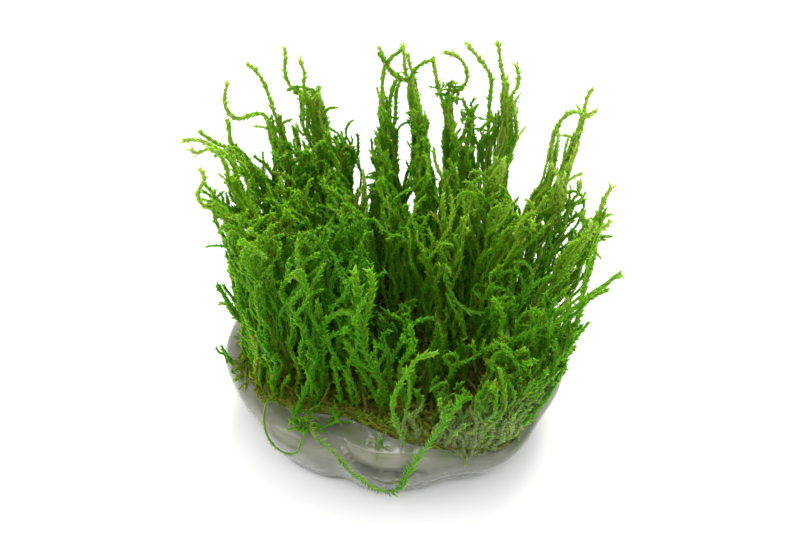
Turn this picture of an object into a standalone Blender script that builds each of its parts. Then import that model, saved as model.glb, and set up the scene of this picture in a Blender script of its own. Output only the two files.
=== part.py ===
"""A clump of aquarium moss on its disc of nutrient gel.

Leafy shoots stand in tufts on a felt of old stems, and the felt is set in the top of a cup-shaped gel disc.
The origin is the centre of the gel's flat foot, +Z is up, and -Y is the side with the open hollow.
Azimuths are degrees from +X, anticlockwise seen from above. Sizes are in metres, made from millimetres.
"""

import math
import random

import bmesh
import bpy
from mathutils import Vector
from mathutils.bvhtree import BVHTree

MM = 0.001
GAP = 0.35 * MM  # clearance between two solids that touch

# Gel disc
GEL_RADIUS = 36.0 * MM
GEL_HEIGHT = 17.0 * MM
GEL_SIDES = 40
# The side's profile: height as a share of the rim's height, and how far it is set in from GEL_RADIUS in mm
GEL_PROFILE = ((0.0, 8.4), (0.06, 6.6), (0.27, 4.1), (0.53, 1.6), (0.78, 0.0), (0.93, 0.5), (1.0, 2.2))
RIM_WAVE = 0.3 * MM
# Lumps and dips of the side: azimuth, half width in degrees, size in mm
GEL_LUMPS = (
    (178, 12, 0.5), (197, 9, -0.6), (212, 9, -0.9), (226, 8, 0.4), (249, 7, -1.4), (265, 9, 0.7),
    (292, 8, -1.1), (306, 8, 0.6), (330, 9, -0.7), (347, 8, 0.6), (15, 14, -0.5), (50, 16, 0.6),
    (90, 18, -0.6), (130, 16, 0.5),
)  # fmt: skip
SLUMP_AZIMUTH = -47.0  # where the rim is worn down and the felt slips over it
SLUMP_WIDTH = 27.0
SLUMP_DROP = 6.0 * MM
SLUMP_SWELL = 1.6 * MM  # how much less the rim is set in there
SCOOP_AZIMUTH = -98.0  # the torn scoop in the front
SCOOP_WIDTH = 11.0
SCOOP_DEPTH = 1.8 * MM
SCOOP_HEIGHT = 0.55  # share of the rim's height
SCOOP_SPREAD = 0.2

# Felt of old stems, in a recess of the gel
RECESS_DEPTH = 2.0 * MM
RECESS_ROOM = 0.7 * MM  # round the felt's edge
FELT_RINGS = (1.0, 0.78, 0.54, 0.28)  # shares of the felt's radius at which it and the recess are shaped
FELT_RADIUS = 31.6 * MM
FELT_SLIP = 2.6 * MM  # how much further out it reaches at the slump
FELT_SLIP_DROP = 5.1 * MM  # and how much further down
FELT_BAY = 6.0 * MM  # how much less far it reaches at the front left
FELT_BAY_AZIMUTH = -112.0
FELT_BAY_WIDTH = 24.0
FELT_THICKNESS = 2.4 * MM
FELT_EDGE = 1.8 * MM
FELT_BUMP = 0.3 * MM

# Tufts. Name: azimuth of the foot, its distance from the axis in mm, height in mm, number of shoots
TUFTS = {
    "tuft_right": (-3, 27.8, 36, 4),
    "tuft_right_tall": (17, 27.8, 44, 4),
    "tuft_right_notch": (37, 27.8, 29, 4),
    "tuft_back_right": (56, 27.8, 46, 5),
    "tuft_back_column": (75, 27.8, 46, 5),
    "tuft_back": (94, 27.8, 45, 5),
    "tuft_back_left": (113, 27.8, 43, 5),
    "tuft_left_loops": (132, 27.8, 38, 5),
    "tuft_left_back": (151, 27.8, 40, 4),
    "tuft_left": (170, 27.8, 41, 4),
    "tuft_left_rings": (189, 27.8, 42, 4),
    "tuft_left_front": (208, 27.8, 43, 4),
    "tuft_front_left_1": (227, 25.2, 40, 4),
    "tuft_front_left_2": (247, 22.0, 35, 4),
    "tuft_front": (270, 23.2, 29, 3),
    "tuft_front_right_1": (292, 27.6, 16, 3),
    "tuft_front_right_2": (310, 29.8, 27, 4),
    "tuft_front_right_3": (328, 29.4, 31, 4),
    "tuft_front_right_4": (340, 21.4, 27, 3),
    "tuft_middle_1": (7, 18.4, 36, 4),
    "tuft_middle_2": (36, 18.8, 37, 4),
    "tuft_middle_3": (65, 18.8, 36, 4),
    "tuft_middle_4": (94, 18.8, 38, 4),
    "tuft_middle_5": (123, 18.8, 35, 4),
    "tuft_middle_6": (152, 18.8, 37, 4),
    "tuft_middle_7": (181, 18.8, 39, 4),
    "tuft_middle_8": (210, 18.4, 38, 4),
    "tuft_middle_9": (236, 13.6, 34, 3),
    "tuft_inner_1": (20, 9.3, 34, 4),
    "tuft_inner_2": (80, 9.3, 33, 4),
    "tuft_inner_3": (140, 9.3, 38, 4),
    "tuft_inner_4": (196, 8.6, 36, 4),
    "sprig_hollow_1": (276, 9.6, 19, 3),
    "sprig_hollow_2": (300, 15.5, 9, 3),
    "sprig_hollow_3": (330, 12.5, 14, 3),
}
SEAT_GAP = 0.45 * MM  # between a tuft and the uneven felt
FOOT_RADIUS = 3.0 * MM
BELLY_RADIUS = 4.3 * MM  # a tuft's widest part, where it parts into shoots
FORK_SHARE = 0.5  # of the tuft's height
SHOOT_OFFSET = 2.75 * MM  # how far a shoot's tip stands from the tuft's middle
SHOOT_SHORTEST = 0.78  # of the tuft's height
# Half widths of a shoot where it parts from its tuft, where it starts to curl, and at its tip
SHOOT_WIDTH = 1.8 * MM
CURL_WIDTH = 0.75 * MM
TIP_WIDTH = 0.38 * MM
# Distance between rings
TRUNK_STEP = 6.5 * MM
SHOOT_STEP = 5.0 * MM
CURL_STEP = 2.8 * MM

# How the clump widens with height, as its cup did
FLARE = 0.0068  # share by which it widens for each millimetre of height
UPRIGHT_AZIMUTH = 210.0  # the side that hardly widens
LEANING_AZIMUTH = -4.0  # the side that widens most
LEAN_WIDTH = 38.0
SWAY = 2.6  # how far the shoots sway to the side at SWAY_HEIGHT, both in mm
SWAY_HEIGHT = 50.0

# Single shoots that leave a tuft at its top and curl: points in mm
CURLS = {
    "tuft_left_loops": (
        ((-22.5, 22.5, 47), (-25.5, 25, 54), (-28, 27, 58), (-31, 28, 57), (-33.5, 28, 56),
         (-35.5, 28, 58), (-36.2, 28, 61.5), (-35.5, 28, 65.5)),
        ((-24, 25.5, 50), (-25.5, 27, 58), (-27, 28.5, 63.5), (-29.5, 28.5, 68), (-31.2, 28, 70)),
    ),
    "tuft_back_left": (
        ((-16.5, 35.5, 52), (-18, 37, 57), (-20.5, 38, 56), (-22.7, 38, 58), (-23.6, 38, 61.5),
         (-23.2, 38, 65), (-23.4, 38, 67.6)),
        ((-18.5, 33.5, 55), (-19.6, 34, 61), (-19.4, 34, 64), (-20.2, 34, 67)),
    ),
    "tuft_left": (
        ((-32.5, 9, 53), (-34, 9, 58.5), (-36.3, 8, 62.5), (-39, 8, 64), (-41.3, 8, 64.5), (-43.2, 8, 64.2)),
        ((-33.5, 4, 55), (-34.5, 2, 62.5), (-35.8, 1, 66.5), (-37.8, 0.5, 67.4), (-39.9, 0, 66.5),
         (-41.2, 0, 67.6)),
    ),
    "tuft_left_rings": (
        ((-34.5, -2.5, 52), (-36, -4, 56.5), (-38.3, -5, 57), (-39.7, -5, 59), (-39.5, -5, 61.5),
         (-38, -5, 64), (-38.7, -5, 66.5)),
    ),
    "tuft_left_back": (
        ((-31, 14.5, 52), (-33.8, 14, 57.2), (-37, 13.8, 59.7), (-39, 13.6, 61.5), (-40.5, 13.5, 63)),
        ((-31.6, 18, 51), (-34.2, 19, 56.2), (-35.2, 19, 62)),
    ),
    "tuft_back": (
        ((1.3, 36.5, 45), (-0.8, 38, 51.5), (-1.7, 39, 57.5), (-2.2, 39.5, 63), (-3.5, 40, 66.6)),
        ((3.5, 39.5, 47.5), (1.6, 40.5, 55), (0.8, 41, 61), (1.6, 41.5, 66)),
    ),
    "tuft_back_column": (
        ((8.8, 39, 45), (7.2, 40, 52.8), (6.3, 41, 59), (5, 42.5, 62), (3, 43.5, 62.8)),
        ((10.4, 38.5, 48), (9.8, 39, 53), (8.9, 40, 60), (9.6, 40.5, 64), (11.4, 41, 66)),
        ((12.6, 36, 47.6), (12.6, 36.6, 56), (14.8, 36.8, 58), (15.8, 37, 60.6), (15.1, 37, 64),
         (13.1, 37, 66.5), (10.8, 37, 67.2)),
    ),
    "tuft_back_right": (
        ((20.5, 34, 45), (20.9, 35, 55), (20.9, 35, 61.4), (19.6, 35, 64.5), (17.4, 35, 67.8),
         (15.6, 35, 70.5)),
        ((23.5, 32.5, 48), (23.5, 33, 57.5), (23.7, 34, 62), (22.7, 34, 66), (22, 34, 71.5)),
        ((25.5, 30.5, 50), (25, 31, 59), (26.2, 31.5, 62), (26.5, 32, 64.4), (26, 32, 67.4)),
    ),
    "tuft_right_tall": (
        ((35.5, 15, 48), (37.9, 17, 56.3), (39.5, 18, 63.8), (40.5, 18.3, 68.3), (41.6, 18.5, 70.3)),
        ((32.5, 12.5, 51), (33.3, 13.5, 60), (35, 14, 66), (37.4, 14, 67.6), (40, 14, 66.4), (42, 14, 67.8)),
    ),
    "tuft_right": (
        ((40, -4, 48), (42, -4.5, 55.5), (42.7, -4.5, 59), (44, -4.5, 62)),
        ((37.2, -7.5, 47), (39.5, -9.3, 53.5), (42, -9.8, 55), (43.6, -10, 57.4)),
    ),
    "tuft_left_front": (
        ((-31, -11.7, 33), (-33.4, -12, 36), (-34.8, -12.5, 40), (-36.2, -13, 43)),
    ),
    "tuft_front_right_3": (
        ((34, -20, 39.5), (37.3, -20.5, 43.7), (39.6, -20.8, 46.8), (42.2, -21, 49), (43.8, -21, 51.2),
         (45.3, -21, 52)),
    ),
}  # fmt: skip

# Shoots that grow from the felt's edge by themselves. A point with two numbers is an azimuth and a height
# in mm on the gel's side, and one with three is a place in mm.
LOOSE_SHOOTS = {
    "trailing_shoot": (
        (-17.8, -24.8, 19.5), (-17.2, -28.4, 19.6), (-15.8, -32.4, 18.9), (-108.3, 15.0), (-104.8, 12.4),
        (-101.5, 10.4), (-96.5, 6.9), (-92.2, 4.8), (-87.9, 6.2), (-85.6, 11.6), (4.6, -36.6, 16.5),
        (6.6, -36.6, 20), (9.6, -35.8, 24.5), (12, -34.8, 28), (14, -34.2, 31.2),
    ),
    "looped_shoot": (
        (-24.3, -18.5, 18.9), (-26.5, -22.5, 19.0), (-136.2, 15.4), (-132.2, 12.4), (-127.6, 11.3),
        (-123.0, 13.2), (-121.4, 15.6),
    ),
    "front_shoot": (
        (2.1, -33.6, 17.9), (1.5, -34, 21), (0.4, -34.3, 25), (-0.2, -34.3, 29.5), (1.2, -34.3, 34.5),
        (3, -34.2, 38.2), (5, -34, 41.3), (8.8, -34, 42.8),
    ),
}  # fmt: skip


def around(azimuth, radius, height=0.0):
    """The point at this azimuth, distance from the axis and height."""
    turn = math.radians(azimuth)
    return Vector((radius * math.cos(turn), radius * math.sin(turn), height))


def hump(azimuth, middle, width):
    """1 at the middle azimuth, falling smoothly to 0 over about twice the width."""
    away = (azimuth - middle + 180) % 360 - 180
    return math.exp(-((away / width) ** 2))


def slump(azimuth):
    return hump(azimuth, SLUMP_AZIMUTH, SLUMP_WIDTH)


def rim_height(azimuth):
    wave = RIM_WAVE * math.sin(math.radians(3 * azimuth + 40))
    return GEL_HEIGHT - SLUMP_DROP * slump(azimuth) + wave


def side_radius(azimuth, height):
    """Radius of the gel's side: a cup's curve with a lumpy skin and the torn scoop."""
    share = min(1.0, height / rim_height(azimuth))
    stretches = zip(GEL_PROFILE, GEL_PROFILE[1:])
    (low, low_inset), (high, high_inset) = next(pair for pair in stretches if share <= pair[1][0])
    inset = (low_inset + (high_inset - low_inset) * (share - low) / (high - low)) * MM
    lumps = sum(size * MM * hump(azimuth, middle, width) for middle, width, size in GEL_LUMPS)
    swell = SLUMP_SWELL * slump(azimuth) * share**8
    level = math.exp(-(((share - SCOOP_HEIGHT) / SCOOP_SPREAD) ** 2))
    scoop = SCOOP_DEPTH * level * hump(azimuth, SCOOP_AZIMUTH, SCOOP_WIDTH)
    return GEL_RADIUS - inset + lumps + swell - scoop


def felt_radius(azimuth):
    bay = FELT_BAY * hump(azimuth, FELT_BAY_AZIMUTH, FELT_BAY_WIDTH)
    return FELT_RADIUS + FELT_SLIP * slump(azimuth) - bay


def recess_height(azimuth, ring):
    """Height of the recess's floor, whose outer half slopes down where the rim has slumped."""
    slope = max(0.0, 2 * ring - 1)
    return GEL_HEIGHT - RECESS_DEPTH - FELT_SLIP_DROP * slump(azimuth) * slope


def felt_height(azimuth, ring):
    """Height of the felt's top: uneven, and thinner at its edge."""
    turn = math.radians(azimuth)
    bumps = FELT_BUMP * ring * (math.sin(4 * turn) + math.cos(7 * turn + 5 * ring))
    thickness = FELT_EDGE if ring == 1.0 else FELT_THICKNESS
    return recess_height(azimuth, ring) + GAP + thickness + bumps


def first_face(bm, corners, middle):
    """A face over these corners to raise a shape from, and a fan under it that stays as its bottom."""
    verts = [bm.verts.new(corner) for corner in corners]
    hub = bm.verts.new(middle)
    for i, vert in enumerate(verts):
        bm.faces.new((verts[i - 1], vert, hub))
    face = bm.faces.new(verts)
    face.normal_update()
    return face


def raise_face(bm, face, corners):
    """Extrudes the face and puts its corners at these places."""
    raised = bmesh.ops.extrude_discrete_faces(bm, faces=[face])["faces"][0]
    for vert, corner in zip(raised.verts, corners):
        vert.co = corner
    raised.normal_update()
    return raised


def close_with_point(bm, face, point):
    """Turns the face into a fan round this point."""
    hub = bmesh.ops.poke(bm, faces=[face])["verts"][0]
    hub.co = point


def finish(bm, name, material):
    bmesh.ops.recalc_face_normals(bm, faces=bm.faces)
    mesh = bpy.data.meshes.new(name)
    bm.to_mesh(mesh)
    bm.free()
    mesh.shade_smooth()
    mesh.set_sharp_from_angle(angle=math.radians(50))
    mesh.materials.append(material)
    obj = bpy.data.objects.new(name, mesh)
    bpy.context.scene.collection.objects.link(obj)
    return obj


def make_material(name, colour, roughness, transmission=0.0):
    material = bpy.data.materials.new(name)
    material.use_nodes = True
    shader = material.node_tree.nodes["Principled BSDF"]
    shader.inputs["Base Color"].default_value = (*colour, 1.0)
    shader.inputs["Roughness"].default_value = roughness
    shader.inputs["Metallic"].default_value = 0.0
    shader.inputs["Transmission Weight"].default_value = transmission
    shader.inputs["IOR"].default_value = 1.34
    return material


def make_gel(material):
    """The gel disc, raised ring by ring from its foot, over the rim and down into the recess."""
    azimuths = [360 * i / GEL_SIDES for i in range(GEL_SIDES)]
    rings = []
    for share, _ in GEL_PROFILE:
        heights = [share * rim_height(a) for a in azimuths]
        rings.append([around(a, side_radius(a, z), z) for a, z in zip(azimuths, heights)])
    walls = [felt_radius(a) + RECESS_ROOM for a in azimuths]
    lips = [0.75 * wall + 0.25 * side_radius(a, GEL_HEIGHT) for a, wall in zip(azimuths, walls)]
    rings.append([around(a, lip, rim_height(a)) for a, lip in zip(azimuths, lips)])
    rings.append([around(a, wall, recess_height(a, 1.0)) for a, wall in zip(azimuths, walls)])
    for ring in FELT_RINGS[1:]:
        rings.append([around(a, ring * felt_radius(a), recess_height(a, ring)) for a in azimuths])
    bm = bmesh.new()
    face = first_face(bm, rings[0], Vector((0, 0, 0)))
    for corners in rings[1:]:
        face = raise_face(bm, face, corners)
    close_with_point(bm, face, Vector((0, 0, recess_height(0, 0))))
    return finish(bm, "gel_disc", material)


def make_felt(material):
    """The felt of old stems, its underside a gap above the recess."""
    azimuths = [360 * i / GEL_SIDES for i in range(GEL_SIDES)]
    rings = []
    for ring in reversed(FELT_RINGS):
        rings.append([around(a, ring * felt_radius(a), recess_height(a, ring) + GAP) for a in azimuths])
    for ring in FELT_RINGS:
        rings.append([around(a, ring * (felt_radius(a) - GAP), felt_height(a, ring)) for a in azimuths])
    bm = bmesh.new()
    face = first_face(bm, rings[0], Vector((0, 0, recess_height(0, 0) + GAP)))
    for corners in rings[1:]:
        face = raise_face(bm, face, corners)
    close_with_point(bm, face, Vector((0, 0, felt_height(0, 0))))
    return finish(bm, "stem_felt", material)


def sway(place, height):
    """How a strand that starts straight up from a place runs: it flares as the cup did and sways with its
    neighbours, so that strands side by side never cross. The place's own z is added."""
    h = height / MM
    x = place.x / MM
    y = place.y / MM
    reach = SWAY * (h / SWAY_HEIGHT) ** 1.2
    push_x = reach * math.sin(h / 6 + x / 12 - y / 9.5 + 0.7)
    push_y = reach * math.sin(h / 7 - x / 8.8 + y / 11 + 2.1)
    azimuth = math.degrees(math.atan2(y, x))
    upright = hump(azimuth, UPRIGHT_AZIMUTH, LEAN_WIDTH)
    leaning = hump(azimuth, LEANING_AZIMUTH, LEAN_WIDTH)
    flare = 1 + FLARE * h * (1 - 0.75 * upright + 0.5 * leaning)
    return Vector((x * flare + push_x, y * flare + push_y, place.z / MM + h)) * MM


def smooth_path(points, step):
    """A Catmull-Rom curve through the points, read about every step along it."""
    ends = [points[0] * 2 - points[1], *points, points[-1] * 2 - points[-2]]
    path = []
    for p, q, r, s in zip(ends, ends[1:], ends[2:], ends[3:]):
        count = max(1, round((r - q).length / step))
        for i in range(count):
            t = i / count
            bend = (2 * p - 5 * q + 4 * r - s) * t**2 + (3 * q - p - 3 * r + s) * t**3
            path.append(0.5 * (2 * q + (r - p) * t + bend))
    path.append(points[-1])
    return path


def taper(count, start, end):
    """Widths from start to end, slimming fastest at the tip."""
    return [end + (start - end) * (1 - ((i + 1) / count) ** 2.4) for i in range(count)]


def sweep(bm, face, path, widths):
    """Extrudes the face along the path, turning it with the path, and gives each ring its width."""
    centre = face.calc_center_median()
    facing = face.normal.copy()
    spokes = [vert.co - centre for vert in face.verts]
    size = sum(spoke.length for spoke in spokes) / len(spokes)
    for i, (point, width) in enumerate(zip(path, widths)):
        ahead = path[min(i + 1, len(path) - 1)] - (path[i - 1] if i else centre)
        turn = facing.rotation_difference(ahead)
        facing = ahead.normalized()
        spokes = [turn @ spoke for spoke in spokes]
        face = raise_face(bm, face, [point + spoke * (width / size) for spoke in spokes])


def seat_at(felt_surface, place):
    """The place on the felt's top, or on the nearest part of it, with a gap."""
    hit = felt_surface.ray_cast(Vector((place.x, place.y, 1.0)), Vector((0, 0, -1)))[0]
    if hit is None:
        hit = felt_surface.find_nearest(Vector((place.x, place.y, GEL_HEIGHT)))[0]
    return Vector((place.x, place.y, hit.z + SEAT_GAP))


def shoot_lines(name, foot, fork):
    """The middle line of each shoot of a tuft from the fork to its tip, and its widths. A shoot that curls
    takes the place of the one that is nearest to where the curl starts."""
    azimuth, _, height, count = TUFTS[name]
    height *= MM
    chance = random.Random(name)
    spin = chance.uniform(15, 45) * chance.choice((-1, 1))
    lines = []
    for k in range(count):
        length = height * chance.uniform(SHOOT_SHORTEST, 1.0) if k else height
        steps = max(2, round((length - fork) / SHOOT_STEP))
        line = []
        for i in range(steps):
            part = (i + 1) / steps
            bearing = azimuth + 360 * (k + 0.5) / count + spin * part
            place = foot + around(bearing, SHOOT_OFFSET * (0.85 + 0.15 * part))
            line.append(sway(place, fork + (length - fork) * part))
        lines.append(line)
    shoots = [(line, taper(len(line), SHOOT_WIDTH, TIP_WIDTH)) for line in lines]
    free = set(range(count))
    for curl in CURLS.get(name, ()):
        points = [Vector(point) * MM for point in curl]
        k = min(free, key=lambda j: min((point - points[0]).length for point in lines[j]))
        free.remove(k)
        kept = [point for point in lines[k] if point.z < points[0].z - CURL_STEP] or lines[k][:1]
        curled = smooth_path([kept[-1], *points], CURL_STEP)[1:]
        widths = taper(len(kept), SHOOT_WIDTH, CURL_WIDTH) + taper(len(curled), CURL_WIDTH, TIP_WIDTH)
        shoots[k] = (kept + curled, widths)
    return shoots


def make_tuft(name, felt_surface, material):
    """A bundle that parts into shoots: its end is cut into equal faces, and each of them is drawn out."""
    azimuth, distance, height, count = TUFTS[name]
    sides = 2 * count
    foot = seat_at(felt_surface, around(azimuth, distance * MM))
    fork = FORK_SHARE * height * MM
    spokes = [around(azimuth + 360 * i / sides, 1.0) for i in range(sides)]
    bm = bmesh.new()
    face = first_face(bm, [seat_at(felt_surface, foot + spoke * FOOT_RADIUS) for spoke in spokes], foot)
    steps = max(2, round(fork / TRUNK_STEP))
    for i in range(steps):
        part = (i + 1) / steps
        radius = FOOT_RADIUS + (BELLY_RADIUS - FOOT_RADIUS) * math.sin(part * math.pi / 2)
        face = raise_face(bm, face, [sway(foot + spoke * radius, fork * part) for spoke in spokes])
    corners = list(face.verts)
    hub = bmesh.ops.poke(bm, faces=[face])["verts"][0]
    ends = []
    for corner in corners[1::2]:
        joint = next(edge for edge in corner.link_edges if edge.other_vert(corner) == hub)
        ends.append(bmesh.utils.face_join(joint.link_faces))
        ends[-1].normal_update()
    for end, (line, widths) in zip(ends, shoot_lines(name, foot, fork)):
        sweep(bm, end, line, widths)
    return finish(bm, name, material)


def make_loose_shoot(name, material):
    """A single shoot as one tapering tube."""
    points = []
    for point in LOOSE_SHOOTS[name]:
        if len(point) == 2:
            azimuth, height = point[0], point[1] * MM
            points.append(around(azimuth, side_radius(azimuth, height) + CURL_WIDTH + SEAT_GAP, height))
        else:
            points.append(Vector(point) * MM)
    path = smooth_path(points, CURL_STEP)
    turn = Vector((0, 0, 1)).rotation_difference(path[1] - path[0])
    ring = [path[0] + turn @ around(360 * i / 5, CURL_WIDTH) for i in range(5)]
    bm = bmesh.new()
    face = first_face(bm, ring, path[0])
    sweep(bm, face, path[1:], taper(len(path) - 1, CURL_WIDTH, TIP_WIDTH))
    return finish(bm, name, material)


def surface_of(obj):
    bm = bmesh.new()
    bm.from_mesh(obj.data)
    return BVHTree.FromBMesh(bm)


def main():
    for obj in list(bpy.data.objects):
        bpy.data.objects.remove(obj)
    gel = make_material("gel", (0.52, 0.55, 0.45), 0.18, transmission=0.6)
    old_stems = make_material("old_stems", (0.13, 0.10, 0.03), 0.75)
    green = make_material("moss_green", (0.10, 0.30, 0.02), 0.45)
    make_gel(gel)
    ground = surface_of(make_felt(old_stems))
    for name in TUFTS:
        make_tuft(name, ground, green)
    for name in LOOSE_SHOOTS:
        make_loose_shoot(name, green)


main()
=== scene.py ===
# %% [markdown]
# # A clump of aquarium moss on its disc of gel
#
# Aquarium moss is often sold as a clump that has grown in a small cup of nutrient gel. Out of its cup, the
# clump keeps the cup's shape: a disc of cloudy gel below, a felt of old stems in its top, and several hundred
# leafy shoots that stand up from the felt and curl where they end.
#
# A plain solid model of the clump is ready as a frame, in metres. This lesson dresses it: each plain solid is
# replaced by a piece with real leaves, in the same place.

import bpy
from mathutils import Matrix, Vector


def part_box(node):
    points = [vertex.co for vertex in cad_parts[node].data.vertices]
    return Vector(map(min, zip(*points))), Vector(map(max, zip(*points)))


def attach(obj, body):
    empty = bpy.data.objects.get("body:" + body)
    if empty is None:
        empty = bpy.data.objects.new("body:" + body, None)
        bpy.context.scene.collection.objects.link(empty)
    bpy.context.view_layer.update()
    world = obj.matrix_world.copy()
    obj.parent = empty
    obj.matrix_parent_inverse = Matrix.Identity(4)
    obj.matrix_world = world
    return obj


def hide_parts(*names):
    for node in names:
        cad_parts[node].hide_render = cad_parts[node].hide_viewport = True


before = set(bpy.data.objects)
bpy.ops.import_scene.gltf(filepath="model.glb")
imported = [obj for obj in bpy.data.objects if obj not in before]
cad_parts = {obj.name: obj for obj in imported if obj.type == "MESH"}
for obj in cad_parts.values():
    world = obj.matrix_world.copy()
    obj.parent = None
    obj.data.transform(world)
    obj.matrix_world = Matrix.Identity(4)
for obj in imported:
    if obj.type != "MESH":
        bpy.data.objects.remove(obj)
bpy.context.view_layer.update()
print("solids in the frame:", len(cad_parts))

# %% Modules and units
import math
import random

import bmesh
import bpy
from mathutils import Quaternion, Vector

MM = 0.001

# %% [markdown]
# ## Small helpers
#
# An operator acts on everything that is selected, so each new piece starts with nothing selected. Nodes of
# materials and of Geometry Nodes are added in the same way, so one function serves them all: it sets the
# node's own settings, its inputs and the colours of a ramp, and an input that is given another node's socket
# is linked to it.

# %% Helpers
def deselect_all():
    for obj in bpy.context.selected_objects:
        obj.select_set(False)


def select_only(obj):
    deselect_all()
    obj.select_set(True)
    bpy.context.view_layer.objects.active = obj


def linear(hex_colour):
    """An sRGB hex colour as the linear colour that a node wants."""
    parts = [int(hex_colour[i : i + 2], 16) / 255 for i in (1, 3, 5)]
    return (*[p / 12.92 if p <= 0.04045 else ((p + 0.055) / 1.055) ** 2.4 for p in parts], 1.0)


def add_node(tree, kind, settings=None, inputs=(), stops=()):
    """inputs are given by name or number, or as a plain row that starts at the first one."""
    node = tree.nodes.new(kind)
    for name, value in (settings or {}).items():
        setattr(node, name, value)
    for name, value in inputs.items() if isinstance(inputs, dict) else enumerate(inputs):
        if isinstance(value, bpy.types.NodeSocket):
            tree.links.new(value, node.inputs[name])
        else:
            node.inputs[name].default_value = value
    if stops:
        ramp = node.color_ramp.elements
        while len(ramp) < len(stops):
            ramp.new(0.5)
        for element, (place, hex_colour) in zip(ramp, stops):
            element.position = place
            element.color = linear(hex_colour)
    return node


# %% [markdown]
# ## Materials
#
# Each material is named for the real thing. A moss leaf is one layer of cells and always wet here: light goes
# some way through it, so it glows where it is lit from behind, and its film of water gives small soft
# highlights. Its colour follows the age of the shoot: olive brown where it is old and stands in the felt,
# deep green in the clump, and yellow green in the fresh tips. The shoots carry three values along them for
# this, which the leaves inherit: how fresh they are, the tone of the shoot, and how frosted it is.

# %% A start for every material
def start_material(name):
    material = bpy.data.materials.new(name)
    material.use_nodes = True
    material.node_tree.nodes.clear()
    return material, material.node_tree


def finish_material(tree, shader_inputs):
    shader = add_node(tree, "ShaderNodeBsdfPrincipled", inputs=shader_inputs)
    add_node(tree, "ShaderNodeOutputMaterial", inputs={"Surface": shader.outputs[0]})
    return shader


# %% Wet moss leaf
LEAF_AGES = (
    (0.0, "#585f12"), (0.12, "#48690d"), (0.3, "#3c7c0c"), (0.55, "#46860e"), (0.8, "#598e12"),
    (0.93, "#77a227"), (1.0, "#92b642"),
)  # fmt: skip
# The deepest green: on most shoots their own tone, on the low-toned tufts around the hollow also painted
# shade
LEAF_SHADE = "#1f5c08"
LEAF_PALE = "#93a92c"
LEAF_OLD = "#7a6f1e"
LEAF_FROST = "#707e54"
# Where three of these come in: the tones between which their share changes, and the share at each
SHADE_TONES = (0.0, 0.45, 0.65, 0.0)
PALE_TONES = (0.7, 0.95, 0.0, 0.16)
OLD_TONES = (0.97, 0.985, 0.0, 0.5)
LEAF_VALUES = (0.88, 1.08)  # how light the darkest and the lightest leaf of a shoot are
SCALE_WIDTH = 0.5 * MM


def make_leaf_material(name, ages, shade):
    material, tree = start_material(name)
    values = {}
    for key in ("fresh", "tone", "frost", "leaf"):
        values[key] = add_node(tree, "ShaderNodeAttribute", {"attribute_name": key}).outputs["Fac"]
    age = add_node(tree, "ShaderNodeValToRGB", inputs=(values["fresh"],), stops=ages)
    # Every shoot has its own green, from a deeper to a yellower one. A few have died and are straw brown
    layers = []
    # On the tufts around the hollow, whose tones are kept low, the deeper green is also painted shade
    for limits, hex_colour in ((SHADE_TONES, shade), (PALE_TONES, LEAF_PALE), (OLD_TONES, LEAF_OLD)):
        share = add_node(tree, "ShaderNodeMapRange", inputs=(values["tone"], *limits))
        layers.append((share.outputs[0], hex_colour))
    layers.append((values["frost"], LEAF_FROST))
    colour = age.outputs[0]
    for share, hex_colour in layers:
        inputs = {"Factor": share, 6: colour, 7: linear(hex_colour)}
        colour = add_node(tree, "ShaderNodeMix", {"data_type": "RGBA"}, inputs).outputs[2]
    # Each leaf is a little lighter or darker than the next
    value = add_node(tree, "ShaderNodeMapRange", inputs=(values["leaf"], 0.0, 1.0, *LEAF_VALUES))
    varied = add_node(tree, "ShaderNodeHueSaturation", inputs={"Value": value.outputs[0], "Color": colour})
    # and where leaves overlap on the stem, their edges show as scales about 0.5 mm wide
    place = add_node(tree, "ShaderNodeTexCoord").outputs["Object"]
    scales = add_node(tree, "ShaderNodeTexVoronoi", inputs={"Vector": place, "Scale": 1 / SCALE_WIDTH})
    bump = add_node(
        tree, "ShaderNodeBump", inputs={"Strength": 0.5, "Distance": 0.12 * MM, "Height": scales.outputs[0]}
    )
    shader = finish_material(
        tree,
        {
            "Base Color": varied.outputs[0],
            "Normal": bump.outputs[0],
            "Roughness": 0.4,
            "IOR": 1.35,
            "Specular IOR Level": 0.22,
            "Subsurface Weight": 0.85,
            "Subsurface Radius": (0.45, 1.0, 0.1),
            "Subsurface Scale": 1.2 * MM,
        },
    )
    shader.subsurface_method = "RANDOM_WALK"
    return material


WET_LEAF = make_leaf_material("wet_moss_leaf", LEAF_AGES, LEAF_SHADE)
print("material:", WET_LEAF.name)

# %% [markdown]
# ## Camera, floor and light
#
# The clump was photographed from 38 degrees above, from far enough that it hardly narrows to the back. The
# light is plain and soft: a large panel behind the camera, one behind the clump that shines through the fresh
# tips, a weak one on the left, and a pale surround.

# %% Camera
CAMERA_TARGET = Vector((1.3, 0.0, 37.7)) * MM
CAMERA_ELEVATION = math.radians(38)
CAMERA_DISTANCE = 500 * MM
IMAGE_WIDTH = 800
FOCAL_PIXELS = 2380  # the focal length, as pixels of the image

away = Vector((0, -math.cos(CAMERA_ELEVATION), math.sin(CAMERA_ELEVATION)))
deselect_all()
bpy.ops.object.camera_add(
    location=CAMERA_TARGET + away * CAMERA_DISTANCE, rotation=(math.pi / 2 - CAMERA_ELEVATION, 0, 0)
)
camera = bpy.context.object
camera.name = "photo_camera"
camera.data.lens = FOCAL_PIXELS * camera.data.sensor_width / IMAGE_WIDTH
camera.data.clip_start = 10 * MM
bpy.context.scene.camera = camera
print("camera lens:", round(camera.data.lens, 1), "mm")

# %% Floor
FLOOR_SIZE = 6.0
PAPER_TONES = ((0.3, "#f3f3f2"), (0.7, "#f7f7f6"))

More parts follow.
